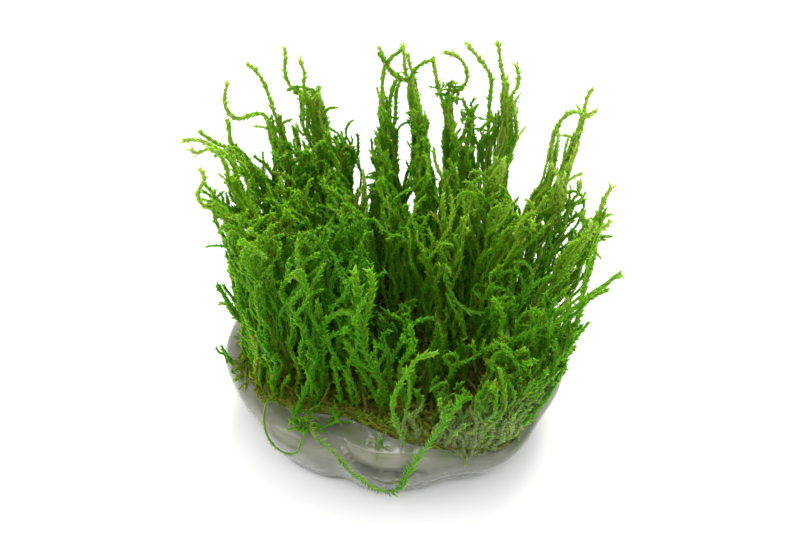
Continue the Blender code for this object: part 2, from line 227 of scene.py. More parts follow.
deselect_all()
bpy.ops.mesh.primitive_plane_add(size=FLOOR_SIZE, location=(0, 0, 0))
floor = bpy.context.object
floor.name = "studio_floor"
material, tree = start_material("matt_white_paper")
# Paper is uneven in soft clouds, here about 4 mm wide
fibre = add_node(tree, "ShaderNodeTexNoise", inputs={"Scale": 1 / (4 * MM), "Detail": 3.0})
paper = add_node(tree, "ShaderNodeValToRGB", inputs=(fibre.outputs[0],), stops=PAPER_TONES)
finish_material(tree, {"Base Color": paper.outputs[0], "Roughness": 0.9, "IOR": 1.3})
floor.data.materials.append(material)

# %% Lights
PANELS = {
    # name: place in mm, width in mm, watts
    "key_panel": ((20, -580, 480), 480, 2.4),
    "back_panel": ((120, 480, 560), 460, 5.2),
    "side_panel": ((-540, -160, 380), 380, 1.2),
}


def add_panel(name, place, width, watts):
    """A square soft light that faces the middle of the clump."""
    location = Vector(place) * MM
    facing = (location - CAMERA_TARGET).to_track_quat("Z", "Y").to_euler()
    deselect_all()
    bpy.ops.object.light_add(type="AREA", location=location, rotation=facing)
    lamp = bpy.context.object
    lamp.name = name
    lamp.data.size = width * MM
    lamp.data.energy = watts


for name, (place, width, watts) in PANELS.items():
    add_panel(name, place, width, watts)
world = bpy.data.worlds.new("pale_surround")
world.use_nodes = True
background = world.node_tree.nodes["Background"]
background.inputs["Color"].default_value = (1.0, 1.0, 1.0, 1.0)
background.inputs["Strength"].default_value = 1.0
bpy.context.scene.world = world
bpy.context.scene.view_settings.view_transform = "Standard"
print("lights:", list(PANELS))

# %% [markdown]
# ## The clump's own shape
#
# The solids of the frame follow a few formulas: the curve of the cup's side, the worn rim at the front right,
# and the way the shoots flare and sway as they rise. The same formulas are written out here, because leaves
# and gel have to lie exactly where those solids are. Azimuths are in degrees from +X, anticlockwise from
# above.

# %% Sizes of the gel and the felt
GEL_RADIUS = 36.0 * MM
GEL_HEIGHT = 17.0 * MM
# The side's profile: share of the rim's height, and how far it is set in from GEL_RADIUS in mm
GEL_PROFILE = ((0.0, 8.4), (0.06, 6.6), (0.27, 4.1), (0.53, 1.6), (0.78, 0.0), (0.93, 0.5), (1.0, 2.2))
RIM_WAVE = 0.3 * MM
# Lumps and dips of the side: azimuth, half width in degrees, size in mm
GEL_LUMPS = (
    (178, 12, 0.5), (197, 9, -0.6), (212, 9, -0.9), (226, 8, 0.4), (249, 7, -1.4), (265, 9, 0.7),
    (292, 8, -1.1), (306, 8, 0.6), (330, 9, -0.7), (347, 8, 0.6), (15, 14, -0.5), (50, 16, 0.6),
    (90, 18, -0.6), (130, 16, 0.5),
)  # fmt: skip
SLUMP_AZIMUTH = -47.0
SLUMP_WIDTH = 27.0
SLUMP_DROP = 6.0 * MM
SLUMP_SWELL = 1.6 * MM
RECESS_DEPTH = 2.0 * MM
RECESS_ROOM = 0.7 * MM
FELT_RADIUS = 31.6 * MM
FELT_SLIP = 2.6 * MM
FELT_SLIP_DROP = 5.1 * MM
FELT_BAY = 6.0 * MM
FELT_BAY_AZIMUTH = -112.0
FELT_BAY_WIDTH = 24.0
FELT_THICKNESS = 2.4 * MM


# %% Places on the gel and the felt
def around(azimuth, radius, height=0.0):
    """The point at this azimuth, distance from the axis and height."""
    turn = math.radians(azimuth)
    return Vector((radius * math.cos(turn), radius * math.sin(turn), height))


def hump(azimuth, middle, width):
    """1 at the middle azimuth, falling smoothly to 0 over about twice the width."""
    apart = (azimuth - middle + 180) % 360 - 180
    return math.exp(-((apart / width) ** 2))


def slump(azimuth):
    return hump(azimuth, SLUMP_AZIMUTH, SLUMP_WIDTH)


def rim_height(azimuth):
    return GEL_HEIGHT - SLUMP_DROP * slump(azimuth) + RIM_WAVE * math.sin(math.radians(3 * azimuth + 40))


def felt_radius(azimuth):
    bay = FELT_BAY * hump(azimuth, FELT_BAY_AZIMUTH, FELT_BAY_WIDTH)
    return FELT_RADIUS + FELT_SLIP * slump(azimuth) - bay


def recess_height(azimuth, ring):
    """Height of the recess under the felt, where ring is the share of the felt's radius."""
    return GEL_HEIGHT - RECESS_DEPTH - FELT_SLIP_DROP * slump(azimuth) * max(0.0, 2 * ring - 1)


def felt_height(azimuth, ring):
    """Height of the felt's top, which thins out at its edge."""
    return recess_height(azimuth, ring) + FELT_THICKNESS * (1 - 0.3 * ring**6)


# %% The gel's side
def profile_inset(share):
    """How far the side is set in at this share of the rim's height: a smooth curve through the profile."""
    k = next(i for i, pair in enumerate(GEL_PROFILE[1:]) if share <= pair[0])
    p, q, r, s = [GEL_PROFILE[min(max(k + i, 0), len(GEL_PROFILE) - 1)] for i in (-1, 0, 1, 2)]
    t = (share - q[0]) / (r[0] - q[0])
    start = (r[1] - p[1]) / max(r[0] - p[0], 0.01) * (r[0] - q[0])
    end = (s[1] - q[1]) / max(s[0] - q[0], 0.01) * (r[0] - q[0])
    cubic = (2 * t**3 - 3 * t**2 + 1) * q[1] + (t**3 - 2 * t**2 + t) * start
    return cubic + (3 * t**2 - 2 * t**3) * r[1] + (t**3 - t**2) * end


# The torn crescent at the front: under the rim's edge the side is set back more and more, down to a groove
# that runs as given here by azimuth and height in mm
GROOVE = ((-110.0, 17.4), (-107.5, 16.2), (-103.8, 13.2), (-97.6, 11.0), (-88.6, 10.0), (-78.0, 10.8))
TEAR_DEPTH = 2.0
TEAR_LIP = 0.7  # how far the rim's edge stands out above it
TEAR_EDGE = 0.12  # share of the height down to the groove over which its edges bend
# Shallow creases where the gel had pressed against the cup: azimuth, height in mm, half width, depth in mm
CREASES = ((-128, 4.5, 16, 0.28), (-112, 2.6, 12, 0.3), (-62, 5.5, 20, 0.25), (-150, 8.0, 14, 0.22))
CREASE_HEIGHT = 1.0


def torn(azimuth, height):
    """How far the surface is set back by the torn crescent, in mm."""
    if not GROOVE[0][0] < azimuth < GROOVE[-1][0]:
        return 0.0
    k = next(i for i, pair in enumerate(GROOVE[1:]) if azimuth <= pair[0])
    (start, high), (end, low) = GROOVE[k : k + 2]
    groove = high + (low - high) * (azimuth - start) / (end - start)
    along = (azimuth - GROOVE[0][0]) / (GROOVE[-1][0] - GROOVE[0][0])
    strength = math.sin(math.pi * along) ** 0.6
    top = rim_height(azimuth) / MM
    below = (top - height / MM) / max(0.6, top - groove)
    if below < TEAR_EDGE:
        return strength * (-TEAR_LIP + (TEAR_LIP + 0.5 * TEAR_DEPTH) * below / TEAR_EDGE)
    if below < 1:
        return strength * TEAR_DEPTH * (0.5 + 0.5 * (below - TEAR_EDGE) / (1 - TEAR_EDGE))
    return strength * TEAR_DEPTH * max(0.0, 1 - (below - 1) / TEAR_EDGE)


def side_radius(azimuth, height):
    share = min(1.0, height / rim_height(azimuth))
    lumps = sum(size * hump(azimuth, middle, width) for middle, width, size in GEL_LUMPS)
    signed = (azimuth + 180) % 360 - 180
    creases = sum(
        depth * hump(signed, middle, width) * math.exp(-(((height / MM - level) / CREASE_HEIGHT) ** 2))
        for middle, level, width, depth in CREASES
    )
    swell = SLUMP_SWELL * slump(azimuth) * share**8
    return GEL_RADIUS + (lumps - profile_inset(share) - creases - torn(signed, height)) * MM + swell


def edge_place(azimuth, reach):
    """A place this many mm out from the felt's edge, measured over the rim and down the gel's side, and the
    direction away from the surface there."""
    lip = side_radius(azimuth, rim_height(azimuth))
    top = (lip - felt_radius(azimuth)) / MM
    if reach < top:
        height = rim_height(azimuth) + 0.3 * MM
        return around(azimuth, felt_radius(azimuth) + reach * MM, height), Vector((0, 0, 1))
    height = rim_height(azimuth) - (reach - top) * MM
    return around(azimuth, side_radius(azimuth, height), height), around(azimuth, 1.0, 0.4)


print("rim of the gel at the front:", round(rim_height(-90) / MM, 1), "mm high")

# %% [markdown]
# ## The gel disc
#
# Nutrient gel is cloudy, wet and soft: it was cast in the cup, so its side is smooth, but it was pulled out
# by hand, which left lumps, shallow creases and a torn crescent at the front. It could be sculpted from a
# cylinder. Here a circle at the foot is extruded ring by ring up the side, over the rim and into the recess
# that holds the felt, and each ring is put on the formula of the side, which keeps the mesh even.

# %% Cloudy gel
GEL_CLOUDY = "#aeae99"
GEL_CLEAR = "#8f927f"
GEL_STAIN = "#6f8a3c"
GEL_ROOT = "#6a5c38"
GEL_DEEP = "#6e7e6d"
# Places where moss has grown into the gel: the place and the reach in mm
GEL_MOSS = (((11, -31.5, 15), 4.0), ((-2.5, -33.5, 15), 3.0), ((27, -25, 11), 6.0))
# What a height or a pattern gives: the values between which a colour's share changes, and the share at each
NEAR_FELT = (10 * MM, 17 * MM, 0.0, 1.0)
MOSS_PATCHES = (0.5, 0.7, 0.0, 0.35)
FOOT_SHADE = (0.0, 15 * MM, 0.9, 0.0)
ROOT_SMEARS = (0.68, 0.78, 0.0, 0.5)
# Noise patterns in it and on it: width in mm, detail and distortion
GEL_PATTERNS = {
    "wisps": (9, 3.0, 0.3),
    "moss": (5, 3.0, 0.0),
    "smears": (2.6, 3.0, 0.6),
    "dimples": (3, 2.0, 0.0),
    "ripples": (1.4, 1.0, 0.0),
}


def make_gel_material():
    material, tree = start_material("cloudy_agar_gel")
    place = add_node(tree, "ShaderNodeTexCoord").outputs["Object"]
    height = add_node(tree, "ShaderNodeSeparateXYZ", inputs=(place,)).outputs["Z"]
    # The wisps are half as high as they are wide
    flat = add_node(tree, "ShaderNodeMapping", inputs={"Vector": place, "Scale": (1.0, 1.0, 2.0)}).outputs[0]
    patterns = {}
    for name, (width, detail, distortion) in GEL_PATTERNS.items():
        inputs = {"Scale": 1 / (width * MM), "Detail": detail, "Distortion": distortion}
        inputs["Vector"] = flat if name == "wisps" else place
        patterns[name] = add_node(tree, "ShaderNodeTexNoise", inputs=inputs).outputs[0]
    # Milky wisps show where it set less clear
    milk = ((0.35, GEL_CLEAR), (0.65, GEL_CLOUDY))
    clouds = add_node(tree, "ShaderNodeValToRGB", inputs=(patterns["wisps"],), stops=milk)
    # Moss that has grown into it stains it green near the felt, in patches
    near = add_node(tree, "ShaderNodeMapRange", inputs=(height, *NEAR_FELT))
    patches = add_node(tree, "ShaderNodeMapRange", inputs=(patterns["moss"], *MOSS_PATCHES))
    stain = add_node(tree, "ShaderNodeMath", {"operation": "MULTIPLY"}, (near.outputs[0], patches.outputs[0]))
    layers = [(stain.outputs[0], GEL_STAIN)]
    # and darkens it where it has grown in
    for middle, reach in GEL_MOSS:
        ends = place, Vector(middle) * MM
        apart = add_node(tree, "ShaderNodeVectorMath", {"operation": "DISTANCE"}, ends)
        inside = add_node(
            tree, "ShaderNodeMapRange", {"interpolation_type": "SMOOTHSTEP"},
            (apart.outputs["Value"], 0.2 * reach * MM, reach * MM, 0.55, 0.0),
        )  # fmt: skip
        layers.append((inside.outputs[0], GEL_STAIN))
    # Near the foot it lies in its own shade
    deep = add_node(tree, "ShaderNodeMapRange", inputs=(height, *FOOT_SHADE))
    layers.append((deep.outputs[0], GEL_DEEP))
    # Bits of root are caught in it, which show as faint brown smears
    smears = add_node(tree, "ShaderNodeMapRange", inputs=(patterns["smears"], *ROOT_SMEARS))
    layers.append((smears.outputs[0], GEL_ROOT))
    colour = clouds.outputs[0]
    for share, hex_colour in layers:
        inputs = {"Factor": share, 6: colour, 7: linear(hex_colour)}
        colour = add_node(tree, "ShaderNodeMix", {"data_type": "RGBA"}, inputs).outputs[2]
    # Its skin is uneven in soft dimples, and its film of water in finer ripples
    bump = add_node(
        tree, "ShaderNodeBump", inputs={"Strength": 0.4, "Distance": 0.3 * MM, "Height": patterns["dimples"]}
    )
    ripples = {"Strength": 0.5, "Distance": 0.2 * MM, "Height": patterns["ripples"]}
    film = add_node(tree, "ShaderNodeBump", inputs={**ripples, "Normal": bump.outputs[0]})
    finish_material(
        tree,
        {
            "Base Color": colour,
            "Normal": bump.outputs[0],
            "Roughness": 0.22,
            "IOR": 1.34,
            "Specular IOR Level": 0.4,
            "Transmission Weight": 0.6,
            "Subsurface Weight": 0.85,
            "Subsurface Radius": (1.0, 1.0, 0.8),
            "Subsurface Scale": 8 * MM,
            "Coat Weight": 0.6,
            "Coat Roughness": 0.06,
            "Coat IOR": 1.33,
            "Coat Normal": film.outputs[0],
        },
    )
    return material


CLOUDY_GEL = make_gel_material()
print("material:", CLOUDY_GEL.name)

# %% Extrude the gel from its foot
GEL_SIDES = 300
SIDE_RINGS = 60
LEDGE_LIFT = 0.12 * MM
LEDGE_PARTS = (0.14, 0.3, 0.46, 0.62, 0.78, 0.9)  # of the way from the side's edge to the recess
LEDGE_EDGE = 0.25 * MM  # how far the ledge is rounded down where the recess starts
RECESS_RINGS = (1.0, 0.9, 0.78, 0.66, 0.54, 0.4, 0.28, 0.14)
azimuths = [360 * i / GEL_SIDES for i in range(GEL_SIDES)]


def ledge_point(azimuth, part, wall):
    """A point of the narrow ledge around the recess, which is uneven where the gel was torn off the cup."""
    uneven = 1 + math.sin(math.radians(11 * azimuth) + 6 * part) * math.sin(math.radians(4 * azimuth))
    lift = LEDGE_LIFT * math.sin(math.pi * part) * uneven
    edge = side_radius(azimuth, rim_height(azimuth))
    return around(azimuth, (1 - part) * edge + part * wall, rim_height(azimuth) + lift)


def gel_rings():
    """Rings of points from the foot to the middle of the recess."""
    for k in range(SIDE_RINGS + 1):
        share = k / SIDE_RINGS
        yield [around(a, side_radius(a, share * rim_height(a)), share * rim_height(a)) for a in azimuths]
    walls = [felt_radius(a) + RECESS_ROOM for a in azimuths]
    for part in LEDGE_PARTS:
        yield [ledge_point(a, part, wall) for a, wall in zip(azimuths, walls)]
    yield [around(a, wall, rim_height(a) - LEDGE_EDGE) for a, wall in zip(azimuths, walls)]
    yield [around(a, wall, recess_height(a, 1.0)) for a, wall in zip(azimuths, walls)]
    for ring in RECESS_RINGS:
        yield [around(a, ring * felt_radius(a), recess_height(a, ring)) for a in azimuths]


def place_ring(verts, points):
    """Puts the corners of a face on a ring of points, each on the one at its own azimuth."""
    count = len(points)
    for vert in verts:
        turn = math.degrees(math.atan2(vert.co.y, vert.co.x)) % 360
        vert.co = points[round(turn * count / 360) % count]


def extrude_rings(name, rings):
    """A solid raised from a filled circle: it is extruded once for each ring, whose places it then takes."""
    deselect_all()
    bpy.ops.mesh.primitive_circle_add(vertices=len(rings[0]), radius=GEL_RADIUS, fill_type="NGON")
    piece = bpy.context.object
    piece.name = name
    bpy.ops.object.mode_set(mode="EDIT")
    bm = bmesh.from_edit_mesh(piece.data)
    for vert, point in zip(bm.verts, rings[0]):
        vert.co = point
    for points in rings[1:]:
        bpy.ops.mesh.extrude_region_move(TRANSFORM_OT_translate={"value": (0, 0, MM)})
        bm = bmesh.from_edit_mesh(piece.data)
        top = next(face for face in bm.faces if face.select)
        place_ring(top.verts, points)
        bmesh.update_edit_mesh(piece.data)
    bpy.ops.mesh.merge(type="CENTER")
    bpy.ops.mesh.select_all(action="SELECT")
    bpy.ops.mesh.normals_make_consistent(inside=False)
    bpy.ops.object.mode_set(mode="OBJECT")
    return piece


gel = extrude_rings("gel_body", list(gel_rings()))
bpy.ops.object.shade_smooth_by_angle(angle=math.radians(40))
gel.data.materials.append(CLOUDY_GEL)
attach(gel, "root")
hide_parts("gel_disc")
print("gel faces:", len(gel.data.polygons))

# %% [markdown]
# ## One leaf
#
# The leaves overlap like scales and wrap the stem, so a shoot looks like a knobbly green cord, about 1 mm
# thick, and only the pointed upper part of each leaf stands out from it. There are more than a hundred
# thousand of them, so this free part is modelled once with as few faces as its shape needs: a cone with three
# sides, one of them towards the stem and the opposite edge as the leaf's keel, tilted outwards from its base
# in the cord.

# %% Model the leaf
LEAF_LENGTH = 0.95 * MM
LEAF_WIDTH = 0.62 * MM
LEAF_THICKNESS = 0.3 * MM
LEAF_TILT = 39  # degrees
SPREAD_TILT = 50  # of the leaves that lie spread on the gel
SPREAD_LENGTH = 1.3 * LEAF_LENGTH
STEM_RADIUS = 0.36 * MM


def make_leaf(name, length, tilt):
    deselect_all()
    bpy.ops.mesh.primitive_cone_add(
        vertices=3, radius1=LEAF_WIDTH / math.sqrt(3), depth=length, location=(0, 0, length / 2)
    )
    piece = bpy.context.object
    piece.name = name
    bpy.ops.object.transform_apply(location=True, rotation=True, scale=True)
    bpy.ops.object.mode_set(mode="EDIT")
    bpy.ops.mesh.select_all(action="SELECT")
    bpy.ops.transform.resize(value=(1, LEAF_THICKNESS / (LEAF_WIDTH * math.sqrt(3) / 2), 1))
    bm = bmesh.from_edit_mesh(piece.data)
    # The keel is the corner at +Y, away from the stem
    tilted = Quaternion((1, 0, 0), -math.radians(tilt))
    for vert in bm.verts:
        vert.co = tilted @ vert.co + Vector((0, 0.5 * STEM_RADIUS, 0))
    bmesh.update_edit_mesh(piece.data)
    bpy.ops.object.mode_set(mode="OBJECT")
    return piece


single_leaf = make_leaf("single_leaf", LEAF_LENGTH, LEAF_TILT)
spread_leaf = make_leaf("spread_leaf", SPREAD_LENGTH, SPREAD_TILT)
print("faces of a leaf:", len(single_leaf.data.polygons))

# %% [markdown]
# ## From a line to a leafy shoot
#
# A shoot is a thin stem with leaves all round it, each turned from the last by the golden angle, as most
# plants do. A hair system could not be kept in the finished model, so the shoots are drawn as lines of
# points, and one Geometry Nodes tree dresses every line: it sweeps the stem along it, sets a copy of the leaf
# at every step, makes the copies real, and joins them with the stem.

# %% The tree that dresses the lines
GOLDEN_ANGLE = math.radians(137.5)
STEM_SIDES = 4
STEM_STEP = 1.1 * MM
LEAF_BENDS = {0: (-0.25, -0.2, -0.25), 1: (0.3, 0.2, 0.25), "Seed": 3}  # least and most, in radians
LEAF_SIZES = {2: 0.72, 3: 1.22, "Seed": 7}  # least and most
ANY_SHARE = {2: 0.0, 3: 1.0, "Seed": 11}


def make_dressing(name, leaf, spacing, leaf_turn, material, facing=False, stem_radius=STEM_RADIUS):
    """A tree that dresses lines. With facing, the leaves turn with the attribute of that name."""
    tree = bpy.data.node_groups.new(name, "GeometryNodeTree")
    tree.interface.new_socket("Geometry", in_out="INPUT", socket_type="NodeSocketGeometry")
    tree.interface.new_socket("Geometry", in_out="OUTPUT", socket_type="NodeSocketGeometry")
    lines = add_node(tree, "NodeGroupInput").outputs[0]
    curves = add_node(tree, "GeometryNodeMeshToCurve", inputs={"Mesh": lines}).outputs[0]
    if facing:
        outward = add_node(
            tree, "GeometryNodeInputNamedAttribute", {"data_type": "FLOAT_VECTOR"}, {"Name": "facing"}
        ).outputs[0]
        curves = add_node(
            tree, "GeometryNodeSetCurveNormal", {"mode": "FREE"}, {"Curve": curves, "Normal": outward}
        ).outputs[0]
    plump = add_node(
        tree, "GeometryNodeInputNamedAttribute", {"data_type": "FLOAT"}, {"Name": "plump"}
    ).outputs[0]

    # The stem
    stepped = add_node(
        tree, "GeometryNodeResampleCurve", {"mode": "LENGTH"}, {"Curve": curves, "Length": STEM_STEP}
    ).outputs[0]
    ring = add_node(
        tree, "GeometryNodeCurvePrimitiveCircle", inputs={"Resolution": STEM_SIDES, "Radius": stem_radius}
    ).outputs[0]
    stem = add_node(
        tree, "GeometryNodeCurveToMesh",
        inputs={"Curve": stepped, "Profile Curve": ring, "Scale": plump, "Fill Caps": True},
    )  # fmt: skip
    stem = add_node(tree, "GeometryNodeSetShadeSmooth", inputs={"Geometry": stem.outputs[0]})

    # The leaves
    points = add_node(
        tree, "GeometryNodeCurveToPoints", {"mode": "LENGTH"}, {"Curve": curves, "Length": spacing}
    )
    index = add_node(tree, "GeometryNodeInputIndex").outputs[0]
    turn = add_node(tree, "ShaderNodeMath", {"operation": "MULTIPLY"}, (index, leaf_turn))
    around_stem = add_node(
        tree, "FunctionNodeAxisAngleToRotation", inputs={"Axis": (0, 0, 1), "Angle": turn.outputs[0]}
    )
    loose = add_node(tree, "FunctionNodeRandomValue", {"data_type": "FLOAT_VECTOR"}, LEAF_BENDS)
    bent = add_node(tree, "FunctionNodeEulerToRotation", inputs=(loose.outputs[0],))
    rotation = points.outputs["Rotation"]
    for step in (around_stem, bent):
        rotation = add_node(
            tree, "FunctionNodeRotateRotation", {"rotation_space": "LOCAL"},
            {"Rotation": rotation, "Rotate By": step.outputs[0]},
        ).outputs[0]  # fmt: skip
    vary = add_node(tree, "FunctionNodeRandomValue", {"data_type": "FLOAT"}, LEAF_SIZES)
    size = add_node(tree, "ShaderNodeMath", {"operation": "MULTIPLY"}, (vary.outputs[1], plump))
    pattern = add_node(tree, "GeometryNodeObjectInfo", inputs={"Object": leaf})
    leaves = add_node(
        tree, "GeometryNodeInstanceOnPoints",
        inputs={
            "Points": points.outputs["Points"], "Instance": pattern.outputs["Geometry"],
            "Rotation": rotation, "Scale": size.outputs[0],
        },
    )  # fmt: skip
    chance = add_node(tree, "FunctionNodeRandomValue", {"data_type": "FLOAT"}, ANY_SHARE)
    leaves = add_node(
        tree, "GeometryNodeStoreNamedAttribute", {"data_type": "FLOAT", "domain": "INSTANCE"},
        {"Geometry": leaves.outputs[0], "Name": "leaf", "Value": chance.outputs[1]},
    )  # fmt: skip
    leaves = add_node(tree, "GeometryNodeRealizeInstances", inputs={"Geometry": leaves.outputs[0]})

    both = add_node(tree, "GeometryNodeJoinGeometry")
    tree.links.new(stem.outputs[0], both.inputs[0])
    tree.links.new(leaves.outputs[0], both.inputs[0])
    dressed = add_node(
        tree, "GeometryNodeSetMaterial", inputs={"Geometry": both.outputs[0], "Material": material}
    )
    add_node(tree, "NodeGroupOutput", inputs=(dressed.outputs[0],))
    return tree


LEAF_SPACING = 0.29 * MM
leafy = make_dressing("leafy_shoot", single_leaf, LEAF_SPACING, GOLDEN_ANGLE, WET_LEAF)
print("nodes in the tree:", len(leafy.nodes))

# %% [markdown]
# ## How the shoots run
#
# The shoots of a tuft start together in the felt, part halfway up, and end at different heights. They all
# flare and sway as their neighbours do, so that they run side by side without crossing. Some of them leave
# the clump at its top and curl: those are placed one by one, as the photograph shows them.

# %% The tufts
# Name: azimuth of the foot, its distance from the axis in mm, height in mm, number of thick shoots
TUFTS = {
    "tuft_right": (-3, 27.8, 36, 4),
    "tuft_right_tall": (17, 27.8, 44, 4),
    "tuft_right_notch": (37, 27.8, 29, 4),
    "tuft_back_right": (56, 27.8, 46, 5),
    "tuft_back_column": (75, 27.8, 46, 5),
    "tuft_back": (94, 27.8, 45, 5),
    "tuft_back_left": (113, 27.8, 43, 5),
    "tuft_left_loops": (132, 27.8, 38, 5),
    "tuft_left_back": (151, 27.8, 40, 4),
    "tuft_left": (170, 27.8, 41, 4),
    "tuft_left_rings": (189, 27.8, 42, 4),
    "tuft_left_front": (208, 27.8, 43, 4),
    "tuft_front_left_1": (227, 25.2, 40, 4),
    "tuft_front_left_2": (247, 22.0, 35, 4),
    "tuft_front": (270, 23.2, 29, 3),
    "tuft_front_right_1": (292, 27.6, 16, 3),
    "tuft_front_right_2": (310, 29.8, 27, 4),
    "tuft_front_right_3": (328, 29.4, 31, 4),
    "tuft_front_right_4": (340, 21.4, 27, 3),
    "tuft_middle_1": (7, 18.4, 36, 4),
    "tuft_middle_2": (36, 18.8, 37, 4),
    "tuft_middle_3": (65, 18.8, 36, 4),
    "tuft_middle_4": (94, 18.8, 38, 4),
    "tuft_middle_5": (123, 18.8, 35, 4),
    "tuft_middle_6": (152, 18.8, 37, 4),
    "tuft_middle_7": (181, 18.8, 39, 4),
    "tuft_middle_8": (210, 18.4, 38, 4),
    "tuft_middle_9": (236, 13.6, 34, 3),
    "tuft_inner_1": (20, 9.3, 34, 4),
    "tuft_inner_2": (80, 9.3, 33, 4),
    "tuft_inner_3": (140, 9.3, 38, 4),
    "tuft_inner_4": (196, 8.6, 36, 4),
    "sprig_hollow_1": (276, 9.6, 19, 3),
    "sprig_hollow_2": (300, 15.5, 9, 3),
    "sprig_hollow_3": (330, 12.5, 14, 3),
}
FORK_SHARE = 0.5  # of a tuft's height, where its shoots part
SHOOT_OFFSET = 2.75 * MM  # from the middle of the tuft
SHOOT_GATHERS = 0.15  # share of that distance that a shoot has lost at the fork, and won back at its tip
SHOOT_SPIN = (15, 45)  # degrees by which a tuft's shoots turn about its middle
SHOOT_SHORTEST = 0.78  # of the tuft's height
SHOOT_STEP = 5.0 * MM
CURL_STEP = 2.8 * MM
print("tufts:", len(TUFTS))

# %% The shoots that curl out of the clump's top, as points in mm
CURLS = {
    "tuft_left_loops": (
        ((-22.5, 22.5, 47), (-25.5, 25, 54), (-28, 27, 58), (-31, 28, 57), (-33.5, 28, 56),
         (-35.5, 28, 58), (-36.2, 28, 61.5), (-35.5, 28, 65.5)),
        ((-24, 25.5, 50), (-25.5, 27, 58), (-27, 28.5, 63.5), (-29.5, 28.5, 68), (-31.2, 28, 70)),
    ),
    "tuft_back_left": (
        ((-16.5, 35.5, 52), (-18, 37, 57), (-20.5, 38, 56), (-22.7, 38, 58), (-23.6, 38, 61.5),
         (-23.2, 38, 65), (-23.4, 38, 67.6)),
        ((-18.5, 33.5, 55), (-19.6, 34, 61), (-19.4, 34, 64), (-20.2, 34, 67)),
    ),
    "tuft_left": (
        ((-32.5, 9, 53), (-34, 9, 58.5), (-36.3, 8, 62.5), (-39, 8, 64), (-41.3, 8, 64.5), (-43.2, 8, 64.2)),
        ((-33.5, 4, 55), (-34.5, 2, 62.5), (-35.8, 1, 66.5), (-37.8, 0.5, 67.4), (-39.9, 0, 66.5),
         (-41.2, 0, 67.6)),
    ),
    "tuft_left_rings": (
        ((-34.5, -2.5, 52), (-36, -4, 56.5), (-38.3, -5, 57), (-39.7, -5, 59), (-39.5, -5, 61.5),
         (-38, -5, 64), (-38.7, -5, 66.5)),
    ),
    "tuft_left_back": (
        ((-31, 14.5, 52), (-33.8, 14, 57.2), (-37, 13.8, 59.7), (-39, 13.6, 61.5), (-40.5, 13.5, 63)),
        ((-31.6, 18, 51), (-34.2, 19, 56.2), (-35.2, 19, 62)),
    ),
    "tuft_back": (
        ((-1.9, 36.5, 45), (-2.6, 38, 51.5), (-2.4, 39, 57.5), (-2.2, 39.5, 63), (-3.5, 40, 66.6)),
        ((5.5, 37, 47.5), (4.5, 38.5, 55), (2.6, 40, 60.5), (1.6, 41.5, 66)),
    ),
    "tuft_back_column": (
        ((5.9, 37, 45), (5.3, 38.5, 52.8), (4.6, 40, 58), (3.6, 42, 61), (3, 43.5, 62.8)),
        ((11.4, 36, 48), (10.9, 36.5, 53.4), (9.9, 37.5, 57.4), (9, 38.5, 60.9), (8.2, 38.5, 64.6)),
        ((12.6, 36, 47.6), (12.6, 36.6, 56), (14.8, 36.8, 58), (15.8, 37, 60.6), (15.1, 37, 64),
         (13.1, 37, 66.5), (10.8, 37, 67.2)),
    ),
    "tuft_back_right": (
        ((20.5, 34, 45), (20.9, 35, 55), (20.9, 35, 61.4), (19.6, 35, 64.5), (17.4, 35, 67.8),
         (15.6, 35, 70.5)),
        ((23.5, 32.5, 48), (23.5, 33, 57.5), (23.7, 34, 62), (22.7, 34, 66), (22, 34, 71.5)),
        ((25.5, 30.5, 50), (25, 31, 59), (26.2, 31.5, 62), (26.5, 32, 64.4), (26, 32, 67.4)),
    ),
    "tuft_right_tall": (
        ((35.5, 15, 48), (37.9, 17, 56.3), (39.5, 18, 63.8), (40.5, 18.3, 68.3), (41.6, 18.5, 70.3)),
        ((32.5, 12.5, 51), (33.3, 13.5, 60), (35, 14, 66), (37.4, 14, 67.6), (40, 14, 66.4), (42, 14, 67.8)),
    ),
    "tuft_right": (
        ((40, -4, 48), (42, -4.5, 55.5), (42.7, -4.5, 59), (44, -4.5, 62)),
        ((37.2, -7.5, 47), (39.5, -9.3, 53.5), (42, -9.8, 55), (43.6, -10, 57.4)),
    ),
    "tuft_left_front": (
        ((-31, -11.7, 33), (-33.4, -12, 36), (-34.8, -12.5, 40), (-36.2, -13, 43)),
    ),
    "tuft_front_right_3": (
        ((34, -20, 39.5), (37.3, -20.5, 43.7), (39.6, -20.8, 46.8), (42.2, -21, 49), (43.8, -21, 51.2),
         (45.3, -21, 52)),
    ),
}  # fmt: skip
# How high the bundle around each of them goes, in mm
BUNDLE_TOPS = {
    "tuft_left_loops": (56, 60),
    "tuft_back_left": (58, 59),
    "tuft_left": (57, 59),
    "tuft_left_rings": (58,),
    "tuft_left_back": (57, 60),
    "tuft_back": (52, 50),
    "tuft_back_column": (50, 50, 57),
    "tuft_back_right": (52, 62, 60),
    "tuft_right_tall": (67, 67),
    "tuft_right": (59, 56),
    "tuft_left_front": (41,),
    "tuft_front_right_3": (48,),
}
print("curling shoots:", sum(len(curls) for curls in CURLS.values()))

# %% Flare and sway
FLARE = 0.0068  # share by which the clump widens for each millimetre of height
UPRIGHT_AZIMUTH = 210.0
LEANING_AZIMUTH = -4.0
LEAN_WIDTH = 38.0
SWAY = 2.6
SWAY_HEIGHT = 50.0


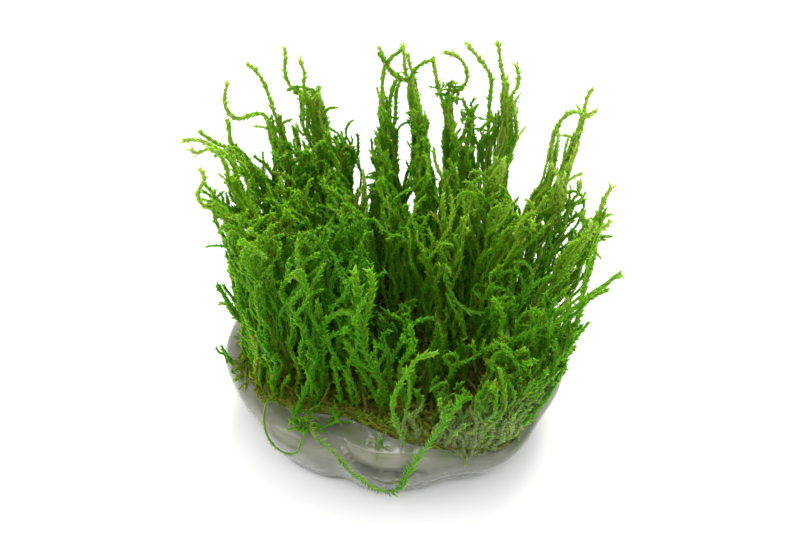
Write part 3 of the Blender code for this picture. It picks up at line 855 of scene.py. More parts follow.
def sway(place, height):
    """Where a shoot that starts straight up from a place has got to at this height above it."""
    h = height / MM
    x = place.x / MM
    y = place.y / MM
    reach = SWAY * (h / SWAY_HEIGHT) ** 1.2
    push_x = reach * math.sin(h / 6 + x / 12 - y / 9.5 + 0.7)
    push_y = reach * math.sin(h / 7 - x / 8.8 + y / 11 + 2.1)
    azimuth = math.degrees(math.atan2(y, x))
    upright = hump(azimuth, UPRIGHT_AZIMUTH, LEAN_WIDTH)
    leaning = hump(azimuth, LEANING_AZIMUTH, LEAN_WIDTH)
    flare = 1 + FLARE * h * (1 - 0.75 * upright + 0.5 * leaning)
    return Vector((x * flare + push_x, y * flare + push_y, place.z / MM + h)) * MM


def smooth_path(points, step):
    """A Catmull-Rom curve through the points, read about every step along it."""
    ends = [points[0] * 2 - points[1], *points, points[-1] * 2 - points[-2]]
    path = []
    for p, q, r, s in zip(ends, ends[1:], ends[2:], ends[3:]):
        count = max(1, round((r - q).length / step))
        for i in range(count):
            t = i / count
            bend = (2 * p - 5 * q + 4 * r - s) * t**2 + (3 * q - p - 3 * r + s) * t**3
            path.append(0.5 * (2 * q + (r - p) * t + bend))
    path.append(points[-1])
    return path


# %% The middle lines of a tuft's thick shoots
LEAN_BEND = 0.7  # below 1, a shoot that leans to its curl does most of it near its foot


def lean(height, curl_start):
    """Share of its way aside that a shoot has gone at this height."""
    return max(0.0, (height - GEL_HEIGHT) / (curl_start - GEL_HEIGHT)) ** LEAN_BEND


def shoot_lines(name, foot, fork):
    """For each shoot: its points from the fork to the tip, the height where it starts to curl, the height to
    which the bundle around a curling shoot goes, and how far it leans aside to where it starts to curl."""
    azimuth, _, height, count = TUFTS[name]
    height *= MM
    chance = random.Random(name)
    spin = chance.uniform(*SHOOT_SPIN) * chance.choice((-1, 1))
    lines = []
    for k in range(count):
        length = height * chance.uniform(SHOOT_SHORTEST, 1.0) if k else height
        steps = max(2, round((length - fork) / SHOOT_STEP))
        line = []
        for i in range(steps):
            part = (i + 1) / steps
            bearing = azimuth + 360 * (k + 0.5) / count + spin * part
            place = foot + around(bearing, SHOOT_OFFSET * (1 - SHOOT_GATHERS + SHOOT_GATHERS * part))
            line.append(sway(place, fork + (length - fork) * part))
        lines.append(line)
    shoots = [(line, None, None, Vector()) for line in lines]
    free = set(range(count))
    for curl, top in zip(CURLS.get(name, ()), BUNDLE_TOPS.get(name, ())):
        points = [Vector(point) * MM for point in curl]
        k = min(free, key=lambda j: min((point - points[0]).length for point in lines[j]))
        free.remove(k)
        beside = min(lines[k], key=lambda point: abs(point.z - points[0].z))
        aside = Vector((points[0].x - beside.x, points[0].y - beside.y, 0))
        kept = [point for point in lines[k] if point.z < points[0].z - CURL_STEP] or lines[k][:1]
        kept = [point + aside * lean(point.z, points[0].z) for point in kept]
        shoots[k] = (kept + points, points[0].z, top * MM, aside)
    return shoots


# %% [markdown]
# ## The single strands
#
# What looks like one shoot from afar is a bundle: about seven strands run along each thick shoot and part
# near its tip. Each strand has its own small waves, many hook over at the end, and some carry a short side
# shoot. These habits are drawn by chance, with a fixed seed for each tuft, so that the clump comes out the
# same each time.

# %% Habits of a strand
STRAND_STEP = 1.0 * MM
STRANDS_PER_SHOOT = 7
OTHER_COUNTS = {
    "tuft_front": 2, "tuft_front_left_1": 2, "tuft_front_left_2": 1, "tuft_front_right_1": 2,
    "tuft_left_front": 9, "tuft_left_rings": 8, "tuft_right": 9, "tuft_right_tall": 8,
    "tuft_inner_1": 5, "tuft_inner_2": 6, "tuft_inner_3": 6, "tuft_inner_4": 6, "tuft_front_right_4": 5,
    "tuft_back_left": 8, "tuft_back_right": 8, "tuft_right_notch": 8, "tuft_middle_2": 8, "tuft_middle_3": 8,
    "sprig_hollow_1": 5, "sprig_hollow_2": 5, "sprig_hollow_3": 5, "tuft_middle_9": 5,
}  # fmt: skip
FOOT_SINK = 0.8 * MM  # how deep in the felt a strand starts
FOOT_SPREAD = 0.7 * MM  # how far from the foot of its bundle a strand starts
TRUNK_PARTS = (0.0, 0.33, 0.66)  # of the way from the foot to the fork
DRIFT = 2.9 * MM  # how far a strand may run from the middle of its bundle
DRIFT_SHARES = (0.35, 1.0)
DRIFT_LOST = 0.45  # share of its drift that it has lost at the tip
# Tufts that stand apart as columns: their strands keep to this share of the drift and of the hooks
NARROW_TUFTS = {"tuft_back": 0.55, "tuft_back_column": 0.5, "tuft_back_right": 0.7, "tuft_right_tall": 0.7}
PLUMPNESS = (0.75, 1.1)  # how thick it is and how large its leaves are, where 1 is as modelled
UNEVEN = 0.16  # how much thicker and thinner it gets along itself
SHORTEST_SHARES = (0.86, 0.86, 0.8, 0.6)  # of a shoot's length
WAVE = (0.25, 1.5)  # half height of its waves in mm, at the foot and at the tip
WAVE_LENGTH = (10.0, 25.0)  # mm
WAVE_START = 5  # steps from its foot over which they set in
KINK = 0.12  # half height of its small kinks in mm
KINK_LENGTH = (2.6, 5.0)  # mm
HOOK_SHARE = 0.45  # share of the strands that hook over
HOOK_LENGTH = (2.5, 7.0)  # mm
HOOK_TURN = (20, 130)  # degrees
HOOK_CUT = 0.6  # share of the hook's length that the strand gives up for it
print("strands around a thick shoot:", STRANDS_PER_SHOOT)

# %% Shoots that curl and shoots at the side
CURL_SIZE = 1.22  # how plump a curling shoot is
CURL_SLIM = 1.05  # its tip isn't thinner, because it ends in a bud
CURL_FRESH = 0.5  # how fresh it is at its foot
CURL_TONES = (0.4, 0.9)
BUNDLE_STRANDS = 8  # strands of the bundle around a curling shoot, with the shoot itself
THIN_BUNDLES = {
    "tuft_right_tall": 7, "tuft_left_loops": 7, "tuft_left": 7, "tuft_front_right_3": 6, "tuft_back": 5,
    "tuft_back_column": 5,
}  # fmt: skip
CLING = 0.6  # share of their distance that the others have lost at the bundle's top
CALM_LEAST = 0.15  # share of the waves that is left where a shoot curls
CALM_FADE = 12 * MM
SIDE_SHOOTS = (0, 0, 0, 0, 1)  # how many a strand has, by chance
SIDE_LENGTH = (1.5, 4.0)  # mm
SIDE_ANGLE = (30, 60)  # degrees from the strand
SIDE_TURN = (-70, 60)  # degrees
SIDE_FRESHER = 0.25
SIDE_PLUMP = 0.85
SHORTEST_PARENT = 10  # points, of a strand that has side shoots


def any_way(chance):
    """A level direction by chance."""
    return around(chance.uniform(0, 360), 1.0)


def hook(path, length, turn, across):
    """Draws a path further by a length, bending it by an angle towards the direction across."""
    heading = (path[-1] - path[-3]).normalized()
    axis = heading.cross(across).normalized()
    steps = max(2, round(length / STRAND_STEP))
    bend = Quaternion(axis, math.radians(turn) / steps)
    for _ in range(steps):
        heading = bend @ heading
        path.append(path[-1] + heading * (length / steps))


def wave(path, chance, calm_above):
    """Adds a strand's own waves, which grow with height and die out above calm_above, and its small kinks."""
    lengths = [chance.uniform(*span) for span in (WAVE_LENGTH, WAVE_LENGTH, KINK_LENGTH, KINK_LENGTH)]
    phases = [chance.uniform(0, 2 * math.pi) for _ in lengths]
    waved = []
    for i, point in enumerate(path):
        size = (WAVE[0] + (WAVE[1] - WAVE[0]) * i / len(path)) * min(1.0, i / WAVE_START)
        calm = 1.0
        if calm_above is not None:
            calm = min(1.0, max(CALM_LEAST, (calm_above - point.z) / CALM_FADE))
        swings = [math.sin(i * 2 * math.pi / length + phase) for length, phase in zip(lengths, phases)]
        push = Vector((size * swings[0] + KINK * swings[2], size * swings[1] + KINK * swings[3], 0))
        waved.append(point + push * calm * MM)
    return waved


# %% Strands as lists of points with their values
FROST_TOP = 30 * MM  # height above which nothing is frosted
FROST_FADE = 12 * MM
SLIM_LENGTH = 1.5 * MM


def add_strand(strands, path, tone, fresh, plump=1.0, frost=0.0, slim=0.75):
    """fresh is given at the foot and at the tip. slim is the share of its thickness that the tip has."""
    last = len(path) - 1
    rows = []
    for i, point in enumerate(path):
        part = i / last
        from_tip = (last - i) * STRAND_STEP
        size = plump * (slim + (1 - slim) * min(1.0, from_tip / SLIM_LENGTH))
        size *= 1 + UNEVEN * math.sin(i * 1.3 + 40 * tone)
        low = max(0.0, min(1.0, (FROST_TOP - point.z) / FROST_FADE))
        rows.append((point, fresh[0] + (fresh[1] - fresh[0]) * part, size, frost * low))
    strands.append({"rows": rows, "tone": tone})


def add_side_shoots(strands, path, chance, tone, fresh, frost):
    """Short shoots that leave the upper part of a strand at an angle and turn up."""
    count = chance.choice(SIDE_SHOOTS) if len(path) > SHORTEST_PARENT else 0
    for _ in range(count):
        i = chance.randrange(len(path) * 6 // 10, len(path) - 3)
        heading = (path[i + 1] - path[i - 1]).normalized()
        across = any_way(chance)
        angle = math.radians(chance.uniform(*SIDE_ANGLE))
        start = Quaternion(heading.cross(across).normalized(), angle) @ heading
        branch = [path[i], path[i] + start * STRAND_STEP * 0.7, path[i] + start * STRAND_STEP * 1.4]
        length = chance.uniform(*SIDE_LENGTH) * MM
        hook(branch, length, chance.uniform(*SIDE_TURN), across)
        here = fresh[0] + (fresh[1] - fresh[0]) * i / len(path)
        add_strand(strands, branch, tone, (here, min(1.0, here + SIDE_FRESHER)), SIDE_PLUMP, frost)


# %% How fresh, how frosted and how deep in tone the strands are
FRESH_HEIGHT = 65 * MM  # shoots that end this high are wholly fresh at their tips
OLD_HEIGHT = 17 * MM
FRESHER = (0.0, 0.15)  # how much one tip may be fresher than another
INNER_DISTANCE = 20  # mm from the axis, within which the shoots are green down to their feet
INNER_FRESH = 0.3
YOUNG = 0.3  # how much fresher the shoots on the right are
YOUNG_AZIMUTH = 18.0
YOUNG_WIDTH = 45.0
FROST = 0.7  # the most that a shoot of the mass is frosted
FROST_AZIMUTH = -40
FROST_WIDTH = 24
FROST_DISTANCE = 25  # mm from the axis, beyond which shoots touch the cup
FROST_SHARES = (0.3, 1.0)
# Least and most of the tone of a tuft's strands. Around the hollow and at the front left they are low:
# a deeper green, partly the shoots' own and partly painted shade of the hollow
TONES = {
    "tuft_middle_8": (0, 0.2), "tuft_middle_9": (0, 0.1), "tuft_inner_4": (0, 0.2),
    "sprig_hollow_1": (0, 0.12), "tuft_front": (0, 0.12), "tuft_front_right_1": (0, 0.15),
    "tuft_front_left_2": (0, 0.3), "tuft_front_left_1": (0, 0.5),
}  # fmt: skip
OTHER_TONES = (0.15, 1)


def freshness(height):
    return max(0.0, min(1.0, (height - OLD_HEIGHT) / (FRESH_HEIGHT - OLD_HEIGHT))) ** 2


def young(azimuth):
    """The shoots on the right are younger, and fresher in all their length."""
    return YOUNG * hump(azimuth, YOUNG_AZIMUTH, YOUNG_WIDTH)


def frost_of(azimuth, distance):
    """The shoots at the front right, which were pressed against the cup, look frosted with gel."""
    return FROST * hump(azimuth, FROST_AZIMUTH, FROST_WIDTH) if distance > FROST_DISTANCE else 0.0


def set_tones(strands, name):
    low, high = TONES.get(name, OTHER_TONES)
    for strand in strands:
        strand["tone"] = low + (high - low) * strand["tone"]


# %% [markdown]
# ## What stands out from the mass
#
# Chance makes a mass of moss, but not this clump: the eye goes to the strands that stand apart from it. They
# are given by a few points each, and a smooth curve runs through them. Wet shoots also cling together. Where
# a bundle tapers to a point it looks like a flame, at the back whole tufts draw together in columns with the
# light between them, and here and there short bits make a knot. Other shoots start outside the felt, on the
# gel's rim. Each of these forms has its own small table and a function that reads it.

# %% Strands placed one by one
PLACED_SIZE = 1.2  # they are nearer to the eye and show thicker than the strands of the mass
PLACED_TONES = (0.4, 0.7)
# For a tuft: each strand's thickness and its points in mm, as the photograph shows it
PLACED_STRANDS = {
    "tuft_front_left_1": (
        (1.1, ((-15.1, -19, 18.5), (-14.9, -19, 23.8), (-14.5, -20, 30.5), (-14.3, -21, 35.5),
               (-13.9, -21, 39.3), (-12.6, -21.5, 41.8), (-10.1, -22, 43.3), (-8, -22, 42.5))),
        (1.1, ((-17, -18.5, 19.2), (-16.8, -19, 27), (-16, -19, 32.4), (-15.1, -19, 37.7),
               (-15.5, -19, 43.6))),
        (1.3, ((-20.6, -23, 16.5), (-19.1, -22, 19.8), (-17.2, -22, 26.2), (-16.4, -21, 30.7),
               (-17.2, -21, 34.5))),
    ),
    "tuft_left_front": (
        (0.7, ((-34.3, -8.6, 17.8), (-34.9, -8.8, 19.6), (-35.6, -9, 21.6), (-36.4, -9, 23.6))),
        (0.7, ((-35.4, -8.8, 20.8), (-36.8, -8.8, 21.4), (-37.6, -8.8, 22.8))),
    ),
    "tuft_front_left_2": (
        (0.7, ((-16.6, -29.2, 17.9), (-14.6, -28.6, 18.1), (-12.6, -28, 18.6), (-11.4, -27.7, 19.2))),
        (0.5, ((-2.1, -30.7, 17.6), (-2.9, -33.8, 17.5), (-3.4, -34.9, 15.6), (-2.7, -34.9, 13.9))),
        (1.1, ((-2.7, -21.5, 16.5), (-2.9, -21.5, 17.8), (-4.6, -21.5, 22.6), (-7.6, -21.5, 29),
               (-9.7, -21, 33.9), (-10.7, -21, 37.1))),
        (1, ((-1.7, -22, 23.5), (-2.7, -22, 25.1), (-4.6, -22, 27.8), (-7.1, -22, 30.5), (-9.7, -22, 35.8))),
        (1.5, ((-1.3, -21.5, 17), (-2.1, -21.5, 22.6), (-3.8, -21.5, 27.4), (-5.9, -21.5, 32.2),
               (-6.3, -21, 37.7), (-7.6, -20.5, 42.1), (-7.1, -20, 46), (-7.8, -20, 51.8))),
        (1.3, ((-6.3, -21, 37.1), (-5.7, -20.5, 41), (-4.6, -20, 44.4), (-4.2, -20, 49.2),
               (-4.8, -20, 52.4))),
        (1, ((-10.9, -22, 18.7), (-11.8, -22, 26.2), (-12.6, -22, 30.5))),
        (1.1, ((-8.4, -22, 18.7), (-9, -22, 22.5), (-9.9, -22, 27.8))),
    ),
    "tuft_front": (
        (1, ((2.9, -21.5, 17.3), (3.2, -21.5, 20.5), (3.8, -21.5, 24.2), (4, -21.5, 27.4))),
        (1.2, ((5.7, -23, 16.8), (5.3, -23, 20), (4.8, -23, 23.2))),
    ),
    "tuft_front_right_1": (
        (0.8, ((10.5, -21.8, 17), (10.7, -21.8, 21.2), (11.3, -21.8, 25.5), (12.4, -21.8, 28.2),
               (13.2, -21.8, 30.3), (12.4, -21.8, 32.2), (10.9, -21.8, 31.9), (10.7, -21.8, 30.3),
               (11.8, -21.5, 28.7), (13.4, -21.5, 29), (16.8, -21, 30.7), (18.5, -21, 32.3),
               (20.6, -20.5, 33.6), (23.1, -20.5, 35.2), (24.8, -20, 34))),
        (0.8, ((16.8, -21, 30.7), (16.4, -21, 32.9), (16.2, -21, 34.7))),
        (0.8, ((18.1, -21, 31.8), (18.3, -21, 33.7), (18.5, -21, 35))),
    ),
    "tuft_back_column": (
        (1, ((-3.4, 38, 66.5), (-1.7, 38, 63.6), (-0.2, 38, 61.4), (1.7, 38, 59.8), (3.8, 38, 59.3))),
        (1, ((1.9, 38, 67.3), (0, 38, 65.7), (-1.1, 38, 64.4), (-1.3, 38, 62.5), (0, 38, 60.6),
             (2.1, 38, 59.3), (3.6, 38, 60.1))),
        (1, ((3.6, 38, 59.8), (4.6, 38, 62.2), (6.3, 38, 63.8), (8.2, 38, 64.6), (8.8, 38, 65.4))),
        (1.1, ((7.1, 30, 34.1), (6.3, 32, 40.5), (5.3, 35, 47.5), (4.2, 37, 54), (3.6, 38, 59.8))),
        (1.1, ((5.9, 30, 34.1), (4.8, 33, 42.4), (4, 36, 49.4), (3.6, 38, 55.8))),
        (1.1, ((8.4, 30, 34.1), (7.1, 32, 43.2), (5.7, 35, 50.2), (4.2, 37, 56.6))),
        (1, ((-1.1, 36, 50.7), (-0.8, 37, 55.3), (0, 37.5, 58.6), (0.8, 38, 59.8))),
        (1, ((11.5, 33, 42), (11.8, 35, 50), (11.6, 36, 57), (12.9, 36, 60.5))),
        (1, ((15, 30, 36), (16, 33, 45), (16.4, 34.2, 52), (14.8, 35, 56.5))),
        (0.9, ((16.6, 31, 40), (17.4, 33, 47), (16.8, 34.4, 52.5), (18.3, 35, 55.2))),
        (1, ((-1.6, 35, 43), (-0.7, 35.5, 47), (0.2, 36, 50.2), (0.4, 37, 54), (0.6, 37.5, 57),
             (1.3, 38, 59.3))),
    ),
    "tuft_inner_1": (
        (0.9, ((10.5, -4, 41.5), (10.9, -5, 38), (11.8, -6, 35.6), (13.4, -7, 33.1), (16, -8, 31.8),
               (18.9, -8, 31.5))),
        (0.8, ((10.9, -6, 35.6), (12.2, -8, 33.4), (13.9, -9, 30.4), (15.1, -10, 26.9))),
    ),
    "tuft_front_right_3": (
        (1.2, ((18.5, -31, 17.8), (22.3, -29, 20.5), (26.5, -27, 23.2), (30.7, -25, 29.1), (34.9, -22, 33.1),
               (37.4, -19, 38.8), (38.4, -17, 44.1), (40.8, -14, 52.5))),
        (1.1, ((26.5, -28, 18.1), (30.7, -26, 22.9), (34, -23, 27), (36.1, -20, 33.2), (38.2, -18, 41.2),
               (40.3, -18, 44.1), (43.3, -18, 45.7))),
        (0.8, ((34.9, -22, 31.5), (36.1, -22, 34.5), (37.6, -22, 37.4), (39.5, -22, 40.6))),
        (1.2, ((23.3, -20, 31.8), (25.4, -20, 34.8), (28.6, -20, 35.8), (32.4, -20, 35.3), (34.9, -19, 36.1),
               (38, -18, 37.5))),
        (1.2, ((29.8, -19, 32.9), (29.4, -19, 37.2), (28.2, -19, 39.8), (28.6, -19, 41.7))),
        (1.2, ((33.2, -19, 33.4), (32.4, -19, 37.2), (30.9, -19, 39.3), (29.4, -19, 40.6))),
        (1.2, ((25.4, -20, 30), (26.5, -20, 33.7), (28.2, -20, 36.9), (30.7, -20, 38), (33.2, -20, 39))),
        (1, ((21.8, -18, 34.3), (22.3, -18, 38), (21.4, -18, 41.5), (20.2, -18, 43.6))),
    ),
}  # fmt: skip


def add_placed(strands, chance, plump, points):
    """A strand along a smooth curve through its points. It is fresher than others at its height."""
    path = smooth_path([Vector(point) * MM for point in points], STRAND_STEP)
    fresh = 0.3 + 0.5 * freshness(path[0].z), 0.6 + 0.4 * freshness(path[-1].z)
    add_strand(strands, path, chance.uniform(*PLACED_TONES), fresh, PLACED_SIZE * plump)


print("strands placed one by one:", sum(len(placed) for placed in PLACED_STRANDS.values()))

# %% Flames: bundles that taper to a point
# For a tuft: each bundle's count of strands, half width at its foot in mm, how fresh it is at its foot, and
# its middle line in mm
FLAMES = {
    "tuft_right_notch": (
        (9, 2.4, 0.8, ((22, 19, 17), (23, 24, 30), (23.4, 29, 42), (23.6, 32, 50), (23.6, 33.5, 58))),
    ),
    "tuft_right_tall": (
        (6, 1.9, 0.8, ((28.5, 8.5, 17), (31, 8.5, 32), (34, 8.5, 46), (36.5, 8.5, 56), (38.2, 9, 63))),
    ),
    "tuft_back_left": (
        (9, 2.6, 0.4, ((-12, 26, 17), (-13.4, 30, 32), (-15.5, 33, 45), (-16.4, 35, 53), (-16.8, 35.5, 59))),
        (7, 2.4, 0.4, ((-9.5, 26, 17), (-10.5, 30, 32), (-11.4, 33, 44), (-12.2, 34, 53))),
        (6, 2.2, 0.4, ((-16, 24, 17), (-18, 28, 32), (-20.4, 31, 44), (-21.8, 32, 52))),
    ),
    "tuft_back": (
        (9, 2.7, 0.5, ((-2, 28, 17), (-2, 31, 32), (-1.7, 34.5, 44), (-2.4, 37, 52), (-3.6, 38.5, 58))),
    ),
    "tuft_back_column": (
        (9, 2.3, 0.6, ((7, 27, 17), (6.8, 30, 32), (6.4, 33, 42), (5.4, 36, 50), (4.4, 38, 56),
                       (3.7, 38, 60))),
        (8, 2.6, 0.4, ((12, 26, 17), (12.5, 30, 32), (12.8, 33, 44), (12.2, 35, 52), (11.6, 36, 58))),
        (8, 3.0, 0.4, ((14, 24, 17), (15, 28, 32), (16, 31, 42), (16.4, 32, 49), (16.6, 33, 55))),
    ),
    "tuft_middle_5": ((9, 2.2, 0.9, ((-7, 16, 17), (-6.8, 18, 32), (-6.6, 20, 43), (-6.6, 21, 49))),),
    "tuft_left_loops": (
        (5, 2.0, 0.4, ((-18.6, 20.6, 17), (-20.5, 22.5, 32), (-23, 24, 44), (-26, 26, 52),
                       (-27.5, 27.5, 57))),
    ),
    "tuft_front": ((13, 2.7, 0.0, ((7.4, -18, 17), (8, -18, 24), (8.7, -18, 31), (9, -18, 37))),),
    "sprig_hollow_1": ((10, 2.6, 0.1, ((-2.5, -12, 17), (-2.4, -12, 23), (-2, -12, 29), (-2.4, -12, 34))),),
    "tuft_front_right_1": (
        (8, 2.4, 0.1, ((13, -15, 17), (13.6, -15, 22), (14.6, -15, 27), (15.4, -15, 31))),
    ),
    "tuft_front_left_1": (
        (7, 1.9, 0.2, ((-15.4, -17.5, 17), (-15.6, -18, 25), (-15.8, -18.5, 33), (-15.4, -19, 41))),
    ),
}  # fmt: skip
FLAME_CLING = 0.72  # how much of its width a flame has lost at its top
FLAME_PLACES = (0.2, 1.0)  # how far out in it its strands are
FLAME_LENGTHS = (0.6, 1.0)  # shares of its height at which they end
FLAME_FRESHER = (0.0, 0.3)  # how much fresher its tips are, besides half of how fresh its foot is
FLAME_TONES = (0.3, 0.9)
FLAME_PLUMPNESS = (0.8, 1.1)


def add_flame(strands, chance, count, width, fresh_foot, points):
    """Strands that run close together along a line and end one after another towards its top."""
    last = len(points) - 1
    for _ in range(count):
        drift = any_way(chance) * chance.uniform(*FLAME_PLACES) * width * MM
        line = [Vector(point) * MM + drift * (1 - FLAME_CLING * i / last) for i, point in enumerate(points)]
        path = smooth_path(line, STRAND_STEP)
        path = path[: round(len(path) * chance.uniform(*FLAME_LENGTHS))]
        path = wave(path, chance, path[-1].z)
        fresher = 0.5 * fresh_foot + chance.uniform(*FLAME_FRESHER)
        fresh = fresh_foot, min(1.0, freshness(path[-1].z) + fresher)
        add_strand(strands, path, chance.uniform(*FLAME_TONES), fresh, chance.uniform(*FLAME_PLUMPNESS))


# %% Columns at the back
GATHERED_TUFTS = (
    "tuft_back_left", "tuft_back", "tuft_back_column", "tuft_back_right", "tuft_right_notch", "tuft_middle_3",
    "tuft_middle_4", "tuft_middle_5",
)  # fmt: skip
# Each column's place in X in mm, and the share of their distance from it that strands lose
COLUMNS = ((-14.5, 0.35), (-1.9, 0.75), (5.7, 0.75), (13.9, 0.4), (23.7, 0.7))
COLUMN_REACH = 6 * MM
COLUMN_TAPER = 0.25  # share by which a strand from that far away is shorter
GATHERED_HOOKED = 0.2  # share of their strands that hook over
GATHER_HEIGHTS = (30.0, 56.0)  # mm, where it begins and where it is complete


def gather(path):
    """Draws a strand sideways to the column nearest to its tip. The further it had to go, the shorter it
    is."""
    middle, strength = min(COLUMNS, key=lambda column: abs(column[0] * MM - path[-1].x))
    apart = min(1.0, abs(middle * MM - path[-1].x) / COLUMN_REACH)
    path = path[: round(len(path) * (1 - COLUMN_TAPER * apart))]
    begin, complete = GATHER_HEIGHTS
    gathered = []
    for point in path:
        part = max(0.0, min(1.0, (point.z / MM - begin) / (complete - begin)))
        gathered.append(point + Vector((middle * MM - point.x, 0, 0)) * strength * part)
    return gathered


# %% Knots of leafy bits
# For a tuft: each knot's middle and half width in mm, how many bits, how fresh and how frosted they are
KNOTS = {
    "tuft_front_left_1": (
        ((-18.6, -26.5, 18.6), 0.8, 12, 0.75, 0.0),
        ((-18.0, -28.6, 18.0), 0.8, 12, 0.35, 0.0),
        ((-11.5, -24.6, 18.4), 0.8, 8, 0.5, 0.0),
    ),
    "tuft_left_front": (((-34.4, -8.8, 18.0), 0.6, 5, 0.1, 0.0),),
    "tuft_back_column": (
        ((11.6, 36.0, 57.5), 1.2, 18, 0.7, 0.0),
        ((16.2, 34.2, 52.0), 1.3, 16, 0.7, 0.0),
    ),
    "tuft_front_left_2": (((-3.0, -33.6, 17.2), 0.5, 3, 0.4, 0.9),),
}
KNOT_BIT = (1.0, 2.6)  # mm
KNOT_RISE = (-0.5, 0.9)  # slope of the bits
KNOT_TURN = (-60, 90)  # degrees
KNOT_PLUMPNESS = (0.6, 0.95)


def add_knot(strands, chance, centre, spread, bits, fresh, frost):
    """Short bits of shoot that point all ways from a place."""
    for _ in range(bits):
        start = Vector(centre) * MM + Vector([chance.gauss(0, spread) * MM for _ in range(3)])
        heading = (any_way(chance) + Vector((0, 0, chance.uniform(*KNOT_RISE)))).normalized()
        path = [start, start + heading * 0.5 * STRAND_STEP, start + heading * STRAND_STEP]
        hook(path, chance.uniform(*KNOT_BIT) * MM, chance.uniform(*KNOT_TURN), any_way(chance))
        tone = chance.random()
        add_strand(strands, path, tone, (0.6 * fresh, fresh), chance.uniform(*KNOT_PLUMPNESS), frost)


# %% Strands that start on the rim
# For a tuft: azimuth at their middle, how many, least and most height in mm, and how frosted they are
RIM_STRANDS = {
    "tuft_left": (170, 8, 10, 30, 0.0),
    "tuft_left_rings": (188, 9, 10, 32, 0.0),
    "tuft_left_front": (207, 9, 10, 32, 0.0),
    "tuft_front_left_1": (226, 4, 8, 24, 0.0),
    "tuft_front_right_1": (-66, 22, 8, 20, 0.9),
    "tuft_front_right_2": (-54, 36, 9, 24, 0.9),
    "tuft_front_right_3": (-38, 36, 9, 26, 0.9),
    "tuft_front_right_4": (-24, 12, 9, 24, 0.6),
}
RIM_SPREAD = 7.5  # degrees
RIM_REACH = (-1.6, 1.6)  # mm from the felt's edge, over the rim and down the gel
RIM_ASIDE = (-5, 5)  # degrees by which a shoot runs aside while it lies on the rim
RIM_LIFT = 0.3 * MM
RIM_DRIFT = (0.0, 2.5)  # mm
RIM_FRESHER = (0.1, 0.4)
RIM_PLUMPNESS = (0.8, 1.15)


def add_rim_strands(strands, chance, middle, count, shortest, longest, frost):
    """Shoots that start on the gel's rim, lie against it and go up on the outside of the tuft."""
    for _ in range(count):
        azimuth = chance.gauss(middle, RIM_SPREAD)
        reach = chance.uniform(*RIM_REACH)
        aside = chance.uniform(*RIM_ASIDE)
        points = []
        for part in (1.0, 0.5, 0.0):
            place, outward = edge_place(azimuth + aside * part, reach * part)
            points.append(place + outward * RIM_LIFT)
        height = chance.uniform(shortest, longest) * MM
        drift = any_way(chance) * chance.uniform(*RIM_DRIFT) * MM
        points.extend(sway(points[2] + drift * part, height * part) for part in (0.33, 0.66, 1.0))
        path = wave(smooth_path(points, STRAND_STEP), chance, None)
        fresh = 0.15, min(1.0, freshness(path[-1].z) + chance.uniform(*RIM_FRESHER))
        add_strand(strands, path, chance.random(), fresh, chance.uniform(*RIM_PLUMPNESS), frost)


# %% [markdown]
# ## From habits to moss
#
# Now the strands can be drawn. Each bundle follows the line of its thick shoot, and every strand in it takes
# its own course, its own length, its waves and perhaps a hook. What stands out is added to the tuft that it
# grows from. Then each tuft's strands become one mesh of lines, which the tree dresses with leaves.

# %% The course of one strand
def strand_course(name, chance, foot, bearing, shoot, leads):
    """Points of a strand: from the felt to the fork, and then beside the thick shoot from which it drifts
    away. The strand that leads is the thick shoot itself."""
    line, curl_start, bundle_top, aside = shoot
    fork = FORK_SHARE * TUFTS[name][2] * MM
    drift = any_way(chance) * chance.uniform(*DRIFT_SHARES) * DRIFT * NARROW_TUFTS.get(name, 1.0)
    if leads:
        drift = Vector()
    start = around(bearing, SHOOT_OFFSET) + any_way(chance) * FOOT_SPREAD * chance.uniform(0.0, 1.0)
    end = around(bearing, SHOOT_OFFSET * (1 - SHOOT_GATHERS)) + drift
    trunk = [sway(foot + start.lerp(end, part), fork * part) for part in TRUNK_PARTS]
    if curl_start is None:
        upper = [p + drift * (1 - DRIFT_LOST * (i + 1) / len(line)) for i, p in enumerate(line)]
    else:
        trunk = [p + aside * lean(p.z, curl_start) for p in trunk]
        bottom = line[0].z
        near = [min(1.0, (p.z - bottom) / (bundle_top - bottom)) for p in line]
        upper = [p + drift * (1 - CLING * part**1.5) for p, part in zip(line, near)]
    return smooth_path(trunk + upper, STRAND_STEP)


def end_strand(name, chance, path, shoot, leads):
    """Cuts a strand to its length, gives it its waves and perhaps a hook at its end."""
    _, curl_start, bundle_top, _ = shoot
    hooked = HOOK_SHARE * NARROW_TUFTS.get(name, 1.0)
    if curl_start is not None and not leads:
        top = chance.uniform(0.6 * curl_start + 0.4 * bundle_top, bundle_top)
        path = [point for point in path[: len(path) * 9 // 10] if point.z < top]
    elif not leads:
        path = path[: round(len(path) * chance.uniform(chance.choice(SHORTEST_SHARES), 1.0))]
    if curl_start is None and name in GATHERED_TUFTS:
        path = gather(path)
        hooked = GATHERED_HOOKED
    path = wave(path, chance, curl_start)
    if chance.random() < hooked and not (leads and curl_start is not None):
        length = chance.uniform(*HOOK_LENGTH) * MM
        path = path[: -max(1, round(HOOK_CUT * length / STRAND_STEP))]
        hook(path, length, chance.uniform(*HOOK_TURN), any_way(chance))
    return path


